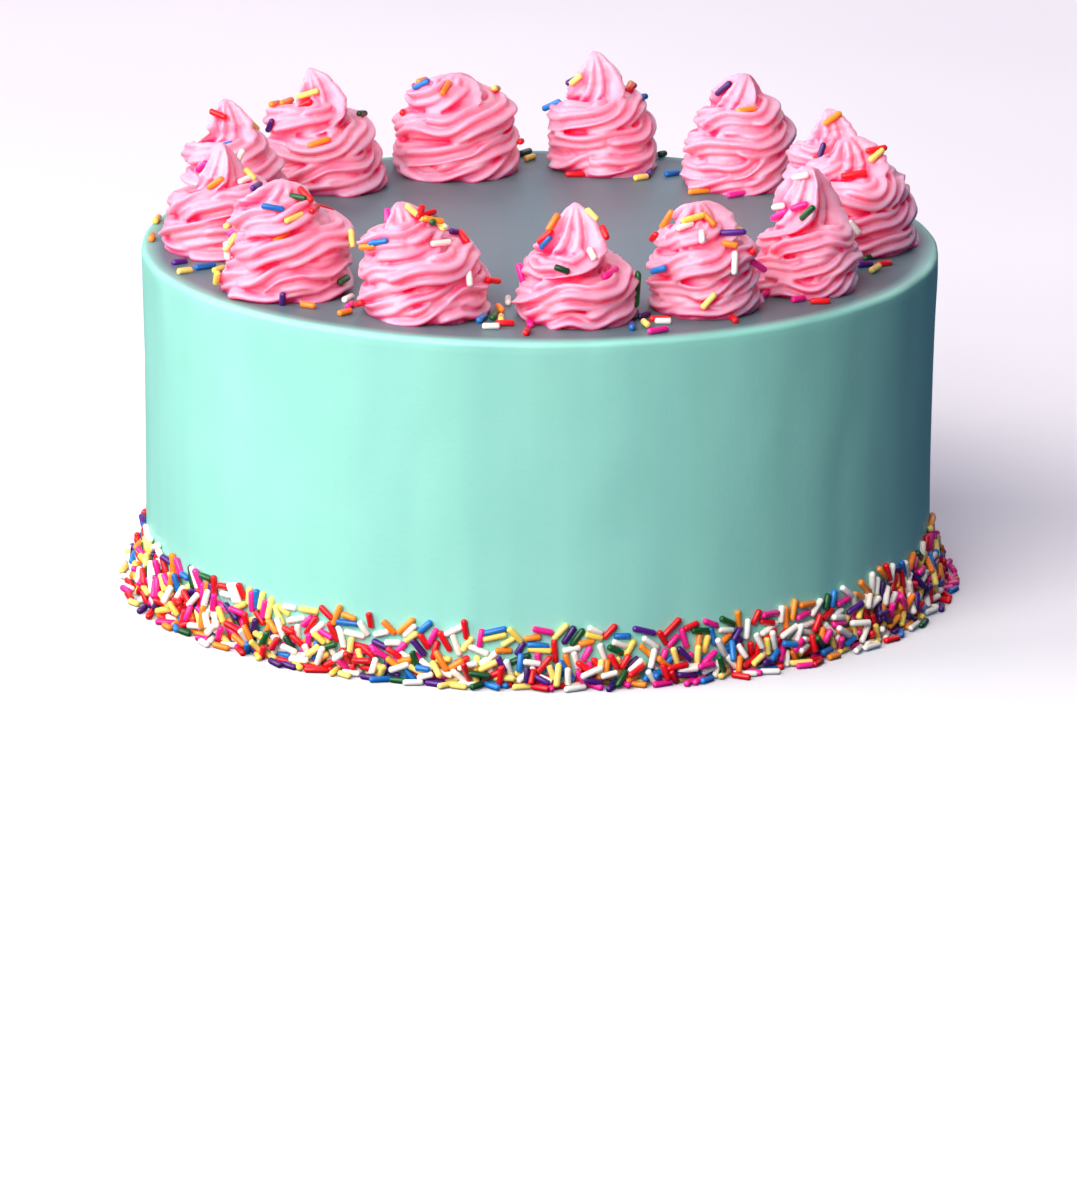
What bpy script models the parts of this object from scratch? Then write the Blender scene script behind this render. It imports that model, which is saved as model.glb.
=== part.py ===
# A round birthday cake in one smooth coat of icing, with a ring of thirteen piped
# swirls on top and a bank of sprinkles round its foot. Metres, +Z up, origin at the
# middle of the underside, front of the cake towards -Y.
import math
import random

import bmesh
import bpy
from mathutils import Matrix, Vector
from mathutils.bvhtree import BVHTree

# The cake: an eight inch cake in its icing coat.
CAKE_RADIUS = 0.1030
CAKE_HEIGHT = 0.0904
LIP_OUT = 0.0010
EDGE_ROUND = 0.0045
EDGE_STEPS = 3
CAKE_SIDES = 64

# The bank of sprinkles at the foot, whose core is part of the coat.
BANK_HEIGHT = 0.0140
BANK_REACH = 0.0052
BANK_CURVE = 1.3
BANK_ROWS = 3
BANK_BUMP = 0.0011
BANK_COUNT = 128
STRAY_HEIGHT = 0.0210

# One sprinkle: a short rod with six sides and blunt points.
SPRINKLE_RADIUS = 0.00085
SPRINKLE_SHORT = 0.0042
SPRINKLE_LONG = 0.0066
SPRINKLE_SIDES = 6
OUTER_REACH = 0.1112
SEED = 7

# Loose sprinkles on the top lie in the gaps of the ring: the bearing clockwise from
# the front in degrees, the distance from the axis in millimetres, and how many.
GAPS = (
    (-69, 94.0, 3),
    (-37, 90.0, 3),
    (-7, 89.0, 4),
    (18, 93.0, 4),
    (46, 92.0, 2),
    (73, 91.0, 2),
    (156, 78.0, 2),
    (182, 89.0, 2),
)
GAP_SPREAD = 0.008

# The piped rope that every swirl is laid from, as shares of the swirl's base radius,
# and how finely it is kept.
LOBES = 6
GROOVE = 0.45
ROPE_SHARE = 0.38
PITCH_SHARE = 0.39
SQUASH = 0.70
LOW_SHARE = 0.84
SHRINK = 4.2
FLAT_TURNS = 0.75
PEAK_TURNS = 0.6
ROPE_STEPS = 110
ROPE_SIDES = 36
CORE_ROWS = 10
CORE_SIDES = 16
VOXEL = 0.0006
SWIRL_FACES = 400
FOOT_CUT = 0.0006
SWIRL_GAP = 0.0003
SWIRL_SPRINKLES = 3

# Every swirl by its bearing clockwise from the front in degrees, then in millimetres
# its distance from the cake's axis, its base radius, its height and how far its peak
# leans to +X, then the bearing where its rope ends, and last the share of its height
# at which the rope is pulled up into a peak: low for a cone, high for a dome.
SWIRLS = (
    (-84, 84.0, 16.2, 29.5, 1.0, 200, 0.72),
    (-52, 82.5, 18.3, 29.5, 0.5, 40, 0.84),
    (-22, 77.5, 18.2, 29.0, -8.0, 150, 0.80),
    (7, 77.0, 17.2, 30.5, -0.5, 10, 0.64),
    (32, 79.0, 15.7, 28.5, -4.5, 120, 0.84),
    (56, 81.5, 15.0, 33.0, 1.5, 150, 0.68),
    (89, 82.7, 17.2, 30.0, -3.5, 300, 0.80),
    (112, 84.5, 14.8, 30.0, -3.0, 20, 0.78),
    (142, 85.0, 16.2, 31.0, 2.5, 100, 0.82),
    (169, 87.0, 16.2, 32.8, -2.5, 240, 0.76),
    (196, 85.0, 18.6, 27.0, 0.5, 330, 0.88),
    (222, 85.0, 17.0, 33.0, -5.0, 45, 0.76),
    (247, 87.5, 14.8, 31.0, -3.0, 170, 0.76),
)

PINK = (0.95, 0.36, 0.50)
MINT = (0.40, 0.88, 0.75)


def clear_scene():
    for item in list(bpy.data.objects):
        bpy.data.objects.remove(item, do_unlink=True)


def make_material(name, colour, roughness):
    material = bpy.data.materials.new(name)
    material.use_nodes = True
    shader = material.node_tree.nodes["Principled BSDF"]
    shader.inputs["Base Color"].default_value = (*colour, 1.0)
    shader.inputs["Roughness"].default_value = roughness
    shader.inputs["Metallic"].default_value = 0.0
    return material


def add_object(name, mesh, material=None):
    item = bpy.data.objects.new(name, mesh)
    bpy.context.scene.collection.objects.link(item)
    if material:
        mesh.materials.append(material)
    return item


def mesh_from(name, points, faces):
    mesh = bpy.data.meshes.new(name)
    mesh.from_pydata(points, [], faces)
    mesh.update()
    return mesh


def bake_modifiers(item):
    # The evaluated mesh takes the place of the object's own, without its modifiers.
    graph = bpy.context.evaluated_depsgraph_get()
    baked = bpy.data.meshes.new_from_object(item.evaluated_get(graph))
    item.modifiers.clear()
    item.data = baked


def ring_faces(start, upper, sides):
    # Quads between two rings of points, the second one above the first.
    faces = []
    for side in range(sides):
        after = (side + 1) % sides
        faces.append((start + side, start + after, upper + after, upper + side))
    return faces


# Sprinkles

def sprinkle_mesh(length):
    half = length / 2.0
    shoulder = half - SPRINKLE_RADIUS * 0.6
    points = [(0.0, 0.0, -half)]
    for height in (-shoulder, shoulder):
        for side in range(SPRINKLE_SIDES):
            turn = 2.0 * math.pi * side / SPRINKLE_SIDES
            points.append((SPRINKLE_RADIUS * math.cos(turn), SPRINKLE_RADIUS * math.sin(turn), height))
    points.append((0.0, 0.0, half))
    tip = len(points) - 1
    faces = ring_faces(1, 1 + SPRINKLE_SIDES, SPRINKLE_SIDES)
    for side in range(SPRINKLE_SIDES):
        after = (side + 1) % SPRINKLE_SIDES
        faces.append((0, 1 + after, 1 + side))
        faces.append((tip, 1 + SPRINKLE_SIDES + side, 1 + SPRINKLE_SIDES + after))
    return mesh_from("sprinkle", points, faces)


def place_sprinkle(collection, middle, direction, length):
    item = bpy.data.objects.new("sprinkle", sprinkle_mesh(length))
    turn = Vector(direction).normalized().to_track_quat("Z", "Y")
    item.matrix_world = Matrix.Translation(middle) @ turn.to_matrix().to_4x4()
    collection.objects.link(item)


def fuse(item, collection):
    # One union joins the collection's sprinkles to the item they lie on.
    join = item.modifiers.new("fuse", "BOOLEAN")
    join.operation = "UNION"
    join.operand_type = "COLLECTION"
    join.collection = collection
    join.solver = "EXACT"
    bpy.context.view_layer.update()
    bake_modifiers(item)
    for loose in list(collection.objects):
        bpy.data.objects.remove(loose, do_unlink=True)
    bpy.data.collections.remove(collection)
    keep_largest(item.data)


def keep_largest(mesh):
    # Loose scraps and the shells of sealed hollows go, the body stays.
    work = bmesh.new()
    work.from_mesh(mesh)
    left = set(work.faces)
    groups = []
    while left:
        group = {left.pop()}
        border = list(group)
        while border:
            face = border.pop()
            for edge in face.edges:
                for other in edge.link_faces:
                    if other in left:
                        left.remove(other)
                        group.add(other)
                        border.append(other)
        groups.append(group)
    groups.sort(key=len)
    for group in groups[:-1]:
        bmesh.ops.delete(work, geom=list(group), context="FACES")
    bmesh.ops.delete(work, geom=[point for point in work.verts if not point.link_faces], context="VERTS")
    work.to_mesh(mesh)
    work.free()


def new_collection(name):
    collection = bpy.data.collections.new(name)
    bpy.context.scene.collection.children.link(collection)
    return collection


# The cake's coat with the core of the bank

def bank_reach(height):
    # How far the bank stands out of the wall at a height: thick at the foot.
    if height >= BANK_HEIGHT:
        return 0.0
    return BANK_REACH * (1.0 - height / BANK_HEIGHT) ** BANK_CURVE


def cake_profile():
    profile = []
    for row in range(BANK_ROWS + 1):
        height = BANK_HEIGHT * row / BANK_ROWS
        profile.append((CAKE_RADIUS + bank_reach(height), height))
    profile.append((CAKE_RADIUS, CAKE_HEIGHT * 0.55))
    lip = CAKE_RADIUS + LIP_OUT
    for step in range(EDGE_STEPS + 1):
        turn = 0.5 * math.pi * step / EDGE_STEPS
        across = lip - EDGE_ROUND + EDGE_ROUND * math.cos(turn)
        up = CAKE_HEIGHT - EDGE_ROUND + EDGE_ROUND * math.sin(turn)
        profile.append((across, up))
    return profile


def make_cake(material):
    draw = random.Random(SEED)
    profile = cake_profile()
    points = []
    for index, (radius, height) in enumerate(profile):
        for side in range(CAKE_SIDES):
            turn = 2.0 * math.pi * side / CAKE_SIDES
            bump = draw.uniform(-BANK_BUMP, BANK_BUMP) if index < BANK_ROWS else 0.0
            rise = draw.uniform(-BANK_BUMP, BANK_BUMP) if 0 < index < BANK_ROWS else 0.0
            reach = radius + bump
            points.append((reach * math.cos(turn), reach * math.sin(turn), height + rise))
    faces = []
    for index in range(len(profile) - 1):
        faces += ring_faces(index * CAKE_SIDES, (index + 1) * CAKE_SIDES, CAKE_SIDES)
    faces.append(tuple(reversed(range(CAKE_SIDES))))
    faces.append(tuple(range(len(points) - CAKE_SIDES, len(points))))
    cake = add_object("cake", mesh_from("cake", points, faces), material)
    sprinkles = new_collection("bank")
    lay_bank(sprinkles, draw)
    lay_top(sprinkles, draw)
    fuse(cake, sprinkles)
    return cake


def lay_bank(collection, draw):
    # Sprinkles pressed on the wall and heaped at the foot, in turn round the cake.
    golden = math.pi * (3.0 - math.sqrt(5.0))
    for index in range(BANK_COUNT):
        turn = index * golden + draw.uniform(-0.02, 0.02)
        share = draw.random() ** 1.5
        height = SPRINKLE_RADIUS * 1.3 + (STRAY_HEIGHT - 0.004) * share
        length = draw.uniform(SPRINKLE_SHORT, SPRINKLE_LONG)
        reach = CAKE_RADIUS + bank_reach(height) + SPRINKLE_RADIUS * draw.uniform(0.1, 0.7)
        outward = Vector((math.cos(turn), math.sin(turn), 0.0))
        along = Vector((-math.sin(turn), math.cos(turn), 0.0))
        lean = draw.uniform(-0.5 * math.pi, 0.5 * math.pi)
        room = min(1.0, max(0.0, height - SPRINKLE_RADIUS * 1.2) / (0.5 * length))
        lean = max(-math.asin(room), min(math.asin(room), lean))
        slope = bank_reach(height + 0.001) - bank_reach(height)
        upward = Vector((outward.x * slope / 0.001, outward.y * slope / 0.001, 1.0)).normalized()
        direction = along * math.cos(lean) + upward * math.sin(lean)
        middle = outward * reach + Vector((0.0, 0.0, height))
        place_sprinkle(collection, middle, direction, length)
    # Four lie square at the quarter points and are the bank's furthest reach.
    for quarter in range(4):
        turn = 0.5 * math.pi * quarter
        outward = Vector((math.cos(turn), math.sin(turn), 0.0))
        middle = outward * (OUTER_REACH - SPRINKLE_SHORT / 2.0) + Vector((0.0, 0.0, SPRINKLE_RADIUS * 1.3))
        place_sprinkle(collection, middle, outward, SPRINKLE_SHORT)


def swirl_place(bearing, ring):
    turn = math.radians(bearing)
    return Vector((ring * math.sin(turn), -ring * math.cos(turn), 0.0))


def lay_top(collection, draw):
    # Loose ones on the top, scattered about the gaps of the ring and clear of it.
    spots = []
    for bearing, reach, count in GAPS:
        wanted = len(spots) + count
        tries = 0
        while len(spots) < wanted and tries < 200:
            tries += 1
            scatter = Vector((draw.gauss(0.0, 0.5), draw.gauss(0.0, 0.5), 0.0)) * GAP_SPREAD
            spot = swirl_place(bearing, reach / 1000.0) + scatter
            length = draw.uniform(SPRINKLE_SHORT, SPRINKLE_LONG)
            lean = draw.uniform(0.0, math.pi)
            if is_clear(spot, length, spots):
                middle = spot + Vector((0.0, 0.0, CAKE_HEIGHT + SPRINKLE_RADIUS * 0.45))
                place_sprinkle(collection, middle, (math.cos(lean), math.sin(lean), 0.0), length)
                spots.append(spot)


def is_clear(spot, length, spots):
    # Whether a sprinkle fits on the flat of the top, off the swirls and the others.
    if spot.length > CAKE_RADIUS - EDGE_ROUND - length / 2.0:
        return False
    if any((spot - other).length < SPRINKLE_LONG for other in spots):
        return False
    for bearing, ring, base, *_ in SWIRLS:
        gap = (spot - swirl_place(bearing, ring / 1000.0)).length - base / 1000.0
        if gap < length / 2.0 + 0.001:
            return False
    return True


# The piped swirls

def rope_plan(base, height, peak):
    # The rope's radius, its lowest and its last ring's height, and its turns.
    rope = ROPE_SHARE * base
    low = SQUASH * rope * LOW_SHARE
    body = FLAT_TURNS + (height * peak - low) / (PITCH_SHARE * base)
    return rope, low, body, body + PEAK_TURNS


def rope_reach(base, turns, total):
    # How far the rope's middle line is from the swirl's axis after some turns.
    return base * (1.0 - ROPE_SHARE) * (1.0 - min(1.0, turns / total) ** SHRINK)


def rope_point(size, share):
    # Rings that shrink as they climb, then the pull up: place, radius and flatness.
    base, height, lean, finish, peak = size
    rope, low, body, total = rope_plan(base, height, peak)
    turns = total * share
    bearing = math.radians(finish) + 2.0 * math.pi * (turns - total)
    reach = rope_reach(base, turns, total)
    pull = max(0.0, (turns - body) / PEAK_TURNS)
    past = min(turns, body) - FLAT_TURNS
    rise = low + PITCH_SHARE * base * (math.sqrt(past * past + 0.06) + past) / 2.0
    rise += (height - rise) * (0.5 * pull + 0.5 * pull ** 2.2)
    squash = SQUASH + (1.0 - SQUASH) * min(1.0, pull / 0.8)
    side = reach * math.cos(bearing) + lean * (turns / total) ** 2
    place = Vector((side, reach * math.sin(bearing), rise))
    return place, rope * (1.0 - 0.93 * pull ** 1.8), squash


def rope_mesh(size):
    # A star section, kept square to the world as the nozzle is, swept along the path.
    points = []
    for step in range(ROPE_STEPS + 1):
        share = step / ROPE_STEPS
        here, rope, squash = rope_point(size, share)
        before = rope_point(size, max(0.0, share - 0.004))[0]
        after = rope_point(size, min(1.0, share + 0.004))[0]
        swing = Vector((0.0, 0.0, 1.0)).rotation_difference((after - before).normalized())
        for side in range(ROPE_SIDES):
            turn = 2.0 * math.pi * side / ROPE_SIDES
            reach = rope * (1.0 - GROOVE * (0.5 - 0.5 * math.cos(LOBES * turn)))
            offset = swing @ Vector((reach * math.cos(turn), reach * math.sin(turn), 0.0))
            offset.z *= squash
            points.append(here + offset)
    faces = []
    for step in range(ROPE_STEPS):
        faces += ring_faces(step * ROPE_SIDES, (step + 1) * ROPE_SIDES, ROPE_SIDES)
    faces.append(tuple(reversed(range(ROPE_SIDES))))
    faces.append(tuple(range(len(points) - ROPE_SIDES, len(points))))
    return points, faces


def core_mesh(size, first):
    # A stack of rings that fills the middle of the rope's turns.
    base, height, lean, finish, peak = size
    rope, low, body, total = rope_plan(base, height, peak)
    points = []
    for row in range(CORE_ROWS + 1):
        rise = height * (0.5 + 0.5 * peak) * row / CORE_ROWS
        turns = 0.5 * FLAT_TURNS + max(0.0, rise - low) / (PITCH_SHARE * base)
        reach = max(0.001, rope_reach(base, turns, total))
        shift = lean * min(1.0, turns / total) ** 2
        for side in range(CORE_SIDES):
            turn = 2.0 * math.pi * side / CORE_SIDES
            points.append(Vector((reach * math.cos(turn) + shift, reach * math.sin(turn), rise)))
    faces = []
    for row in range(CORE_ROWS):
        faces += ring_faces(first + row * CORE_SIDES, first + (row + 1) * CORE_SIDES, CORE_SIDES)
    faces.append(tuple(first + side for side in reversed(range(CORE_SIDES))))
    faces.append(tuple(first + CORE_ROWS * CORE_SIDES + side for side in range(CORE_SIDES)))
    return points, faces


def flatten_foot(mesh, floor):
    # The swirl is cut flat where it sits on the cake.
    work = bmesh.new()
    work.from_mesh(mesh)
    geometry = work.verts[:] + work.edges[:] + work.faces[:]
    bmesh.ops.bisect_plane(work, geom=geometry, dist=1e-6, plane_co=(0.0, 0.0, floor),
                           plane_no=(0.0, 0.0, -1.0), clear_outer=True)
    rim = [edge for edge in work.edges if edge.is_boundary]
    bmesh.ops.holes_fill(work, edges=rim, sides=0)
    bmesh.ops.triangulate(work, faces=work.faces[:])
    bmesh.ops.recalc_face_normals(work, faces=work.faces[:])
    work.to_mesh(mesh)
    work.free()


def dot_swirl(collection, mesh, place, draw):
    # A few sprinkles half sunk in the swirl, found by looking at it from outside.
    tree = BVHTree.FromPolygons([point.co for point in mesh.vertices],
                                [tuple(face.vertices) for face in mesh.polygons])
    spots = []
    tries = 0
    while len(spots) < SWIRL_SPRINKLES and tries < 60:
        tries += 1
        turn = 2.0 * math.pi * (len(spots) + draw.random()) / SWIRL_SPRINKLES
        height = draw.uniform(0.40, 0.85) * max(point.co.z for point in mesh.vertices)
        outside = Vector((0.03 * math.cos(turn), 0.03 * math.sin(turn), height + 0.006))
        spot, normal, _, _ = tree.ray_cast(outside, (Vector((0.0, 0.0, height)) - outside).normalized())
        if spot is None or normal.z < -0.1:
            continue
        across = normal.cross(Vector((0.0, 0.0, 1.0))).normalized()
        lean = draw.uniform(0.0, math.pi)
        direction = across * math.cos(lean) + normal.cross(across) * math.sin(lean)
        length = draw.uniform(SPRINKLE_SHORT, SPRINKLE_LONG)
        place_sprinkle(collection, place + spot + normal * SPRINKLE_RADIUS * 0.15, direction, length)
        spots.append(spot)


def make_swirl(number, row, material):
    bearing, ring, base, height, lean, finish, peak = row
    size = (base / 1000.0, height / 1000.0, lean / 1000.0, finish, peak)
    points, faces = rope_mesh(size)
    core_points, core_faces = core_mesh(size, len(points))
    name = "swirl_%02d" % number
    swirl = add_object(name, mesh_from(name, points + core_points, faces + core_faces))
    # Remeshing welds the turns into one body, which is then thinned to few faces.
    weld = swirl.modifiers.new("weld", "REMESH")
    weld.mode = "VOXEL"
    weld.voxel_size = VOXEL
    soften = swirl.modifiers.new("soften", "SMOOTH")
    soften.factor = 0.5
    soften.iterations = 2
    bake_modifiers(swirl)
    flatten_foot(swirl.data, FOOT_CUT)
    keep_largest(swirl.data)
    thin = swirl.modifiers.new("thin", "DECIMATE")
    thin.ratio = SWIRL_FACES / len(swirl.data.polygons)
    bake_modifiers(swirl)
    keep_largest(swirl.data)
    low = min(point.co.z for point in swirl.data.vertices)
    swirl.location = swirl_place(bearing, ring / 1000.0) + Vector((0.0, 0.0, CAKE_HEIGHT + SWIRL_GAP - low))
    sprinkles = new_collection(name + "_sprinkles")
    dot_swirl(sprinkles, swirl.data, swirl.location, random.Random(SEED + number))
    fuse(swirl, sprinkles)
    swirl.data.materials.clear()
    swirl.data.materials.append(material)
    return swirl


def main():
    clear_scene()
    icing = make_material("mint_icing", MINT, 0.45)
    pink = make_material("pink_icing", PINK, 0.45)
    make_cake(icing)
    for number, row in enumerate(SWIRLS, start=1):
        make_swirl(number, row, pink)


main()
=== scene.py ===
import math
import random

import bpy
from mathutils import Matrix, Vector, noise
from mathutils.bvhtree import BVHTree


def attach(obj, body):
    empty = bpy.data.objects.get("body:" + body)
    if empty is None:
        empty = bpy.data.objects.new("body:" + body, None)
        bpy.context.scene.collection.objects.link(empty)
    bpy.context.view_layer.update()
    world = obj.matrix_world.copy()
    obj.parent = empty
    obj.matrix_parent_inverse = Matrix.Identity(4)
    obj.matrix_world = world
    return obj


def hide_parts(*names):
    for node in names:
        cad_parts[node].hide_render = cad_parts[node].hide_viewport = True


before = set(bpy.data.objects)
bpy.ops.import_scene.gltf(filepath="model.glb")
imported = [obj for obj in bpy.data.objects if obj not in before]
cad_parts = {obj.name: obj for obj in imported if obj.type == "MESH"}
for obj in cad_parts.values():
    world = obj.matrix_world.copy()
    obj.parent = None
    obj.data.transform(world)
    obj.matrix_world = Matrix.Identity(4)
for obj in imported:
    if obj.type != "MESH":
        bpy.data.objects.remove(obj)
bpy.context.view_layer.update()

# A birthday cake: a mint coat of buttercream, thirteen piped swirls in a ring on top,
# and sprinkles banked round the foot and scattered over the top.
# Metres, the front towards -Y, the middle of the underside at the origin.

cakeTop = 0.0904
mm = 0.001


def srgb(hexCode):
    # A hex colour as linear values with alpha.
    channels = [int(hexCode[place:place + 2], 16) / 255 for place in (1, 3, 5)]
    linear = [c / 12.92 if c <= 0.04045 else ((c + 0.055) / 1.055) ** 2.4 for c in channels]
    return (*linear, 1.0)


def addNode(tree, kind, settings=None, inputs=None):
    # Adds a node, sets its options, and fills or links its inputs.
    node = tree.nodes.new(kind)
    for name, value in (settings or {}).items():
        setattr(node, name, value)
    for name, value in (inputs or {}).items():
        if isinstance(value, bpy.types.Node):
            value = value.outputs[0]
        if isinstance(value, bpy.types.NodeSocket):
            tree.links.new(value, node.inputs[name])
        else:
            node.inputs[name].default_value = value
    return node


def newMaterial(name, finish):
    # A material, its node tree and its shader, with the finish on the shader's sockets.
    material = bpy.data.materials.new(name)
    material.use_nodes = True
    shader = material.node_tree.nodes["Principled BSDF"]
    for socket, value in finish.items():
        shader.inputs[socket].default_value = value
    return material, material.node_tree, shader


def ringPlace(bearing, ring):
    turn = math.radians(bearing)
    return Vector((ring * math.sin(turn), -ring * math.cos(turn), 0.0))


def addPiece(name, mesh):
    piece = bpy.data.objects.new(name, mesh)
    bpy.context.scene.collection.objects.link(piece)
    return piece


def freezeMesh(piece):
    # The finished shape becomes the piece's own mesh, and its modifiers go.
    graph = bpy.context.evaluated_depsgraph_get()
    finished = bpy.data.meshes.new_from_object(piece.evaluated_get(graph))
    piece.modifiers.clear()
    piece.data = finished


def smoothShade(mesh):
    mesh.polygons.foreach_set("use_smooth", [True] * len(mesh.polygons))
    mesh.update()


# Camera, light and floor

photoCamera = {
    "frameWide": 1077,   # pixels of the photograph
    "frameHigh": 1200,
    "lens": 300.0,       # millimetres, with the sensor along the frame's longer side
    "sensor": 36.0,
    "pitch": 16.05,      # degrees down from level
    "roll": 0.36,
    "distance": 2.63779,
    "aim": (0.00026, 0.0, -0.00674),
}

studio = {
    "aim": (0.0, 0.0, 0.06),
    "skyColour": "#80AEFA",
    "skyStrength": 0.145,
    "floorColour": "#D9D7DE",
    "floorPatches": "#EFECF0",
    "floorLight": "#F6F4FA",
    "floorGlow": 0.06,
    "floorPatchSize": 0.333333,
    "floorReach": 6.0,
}

# Soft boxes: bearing from the front and height in degrees, then metres away, metres
# across, metres high, power in watts and colour.
softBoxes = {
    "keyBox": (-24, 34, 1.9, 1.5, 1.5, 55.0, "#FFFBF6"),
    "sideBox": (-86, 26, 1.9, 1.4, 1.3, 36.0, "#FFFBF6"),
    "backBox": (192, 32, 2.2, 2.6, 1.2, 16.0, "#FBE4EE"),
    "fillBox": (140, 26, 2.2, 1.6, 1.2, 8.0, "#FFF3EA"),
    "topBox": (0, 85, 1.5, 1.1, 1.1, 3.5, "#FFF6F4"),
}


def cameraAxes():
    pitch = math.radians(photoCamera["pitch"])
    roll = math.radians(photoCamera["roll"])
    look = Vector((0.0, math.cos(pitch), -math.sin(pitch)))
    up = Vector((0.0, math.sin(pitch), math.cos(pitch)))
    right = Vector((1.0, 0.0, 0.0))
    across = right * math.cos(roll) + up * math.sin(roll)
    upright = up * math.cos(roll) - right * math.sin(roll)
    place = Vector(photoCamera["aim"]) - photoCamera["distance"] * look
    return place, across, upright, look


def makeCamera():
    place, across, upright, look = cameraAxes()
    data = bpy.data.cameras.new("photoCamera")
    data.lens = photoCamera["lens"]
    data.sensor_width = photoCamera["sensor"]
    data.clip_end = 50.0
    camera = bpy.data.objects.new("photoCamera", data)
    bpy.context.scene.collection.objects.link(camera)
    turn = Matrix((across, upright, -look)).transposed()
    camera.matrix_world = Matrix.Translation(place) @ turn.to_4x4()
    bpy.context.scene.camera = camera


def makeStudio():
    aim = Vector(studio["aim"])
    for name, (bearing, rise, away, wide, high, power, colour) in softBoxes.items():
        light = bpy.data.lights.new(name, "AREA")
        light.shape = "RECTANGLE"
        light.size, light.size_y = wide, high
        light.energy = power
        light.color = srgb(colour)[:3]
        box = bpy.data.objects.new(name, light)
        lift = math.radians(rise)
        above = Vector((0.0, 0.0, away * math.sin(lift)))
        box.location = aim + ringPlace(bearing, away * math.cos(lift)) + above
        box.rotation_euler = (aim - box.location).to_track_quat("-Z", "Y").to_euler()
        box.visible_camera = False
        bpy.context.scene.collection.objects.link(box)
    world = bpy.data.worlds.new("paleRoom")
    world.use_nodes = True
    sky = world.node_tree.nodes["Background"]
    sky.inputs["Color"].default_value = srgb(studio["skyColour"])
    sky.inputs["Strength"].default_value = studio["skyStrength"]
    bpy.context.scene.world = world
    bpy.context.scene.view_settings.view_transform = "Standard"
    reach = studio["floorReach"]
    corners = [(x * reach, y * reach, 0.0) for x, y in ((-1, -1), (1, -1), (1, 1), (-1, 1))]
    mesh = bpy.data.meshes.new("paleFloor")
    mesh.from_pydata(corners, [], [(0, 1, 2, 3)])
    floor = addPiece("paleFloor", mesh)
    mesh.materials.append(paintedFloor())
    floor.visible_diffuse = False    # the pale ground throws no light back on the cake
    floor.visible_glossy = False
    print("studio", len(softBoxes), "lights")


def paintedFloor():
    # Matt painted board: a plain pale ground with no shine.
    material, tree, shader = newMaterial("paintedBoard", {
        "Roughness": 0.7, "Emission Color": srgb(studio["floorLight"]),
        "Emission Strength": studio["floorGlow"]})
    place = addNode(tree, "ShaderNodeTexCoord").outputs["Object"]
    patches = addNode(tree, "ShaderNodeTexNoise", None, {
        "Vector": place, "Scale": 1 / studio["floorPatchSize"]})
    tint = addNode(tree, "ShaderNodeMix", {"data_type": "RGBA"}, {
        0: patches.outputs["Fac"],
        6: srgb(studio["floorColour"]),
        7: srgb(studio["floorPatches"]),
    })
    tree.links.new(tint.outputs[2], shader.inputs["Base Color"])
    return material


# The coat: one smooth shell over the whole cake

coat = {
    "radius": 0.1030,
    "lipOut": 0.0010,        # the top stands out this far past the foot
    "edgeRound": 0.0016,
    "footRound": 0.0008,
    "unevenness": 0.00030,
    "streakDepth": 0.00034,  # the scraper's upright marks
    "rimWaver": 0.00035,
    "rimBand": 0.006,        # how far down from the top the rim wavers
    "sides": 288,
    "wallRows": 44,
    "topRings": 22,
    "mint": "#8ED2C1",
    "paleMint": "#9CDDCE",
    "streakMint": "#84C5BC",
    # Painted shade for the top: darker, greyer mints, and how far in from the rim they fade in
    "shadedTopMint": "#546E75",
    "paleShadedTopMint": "#5D767F",
    "mintBand": 0.0005,      # how far in from the rim it stays mint
    "topShadeBand": 0.0050,     # how far in from the rim it is dull all over
}


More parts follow.
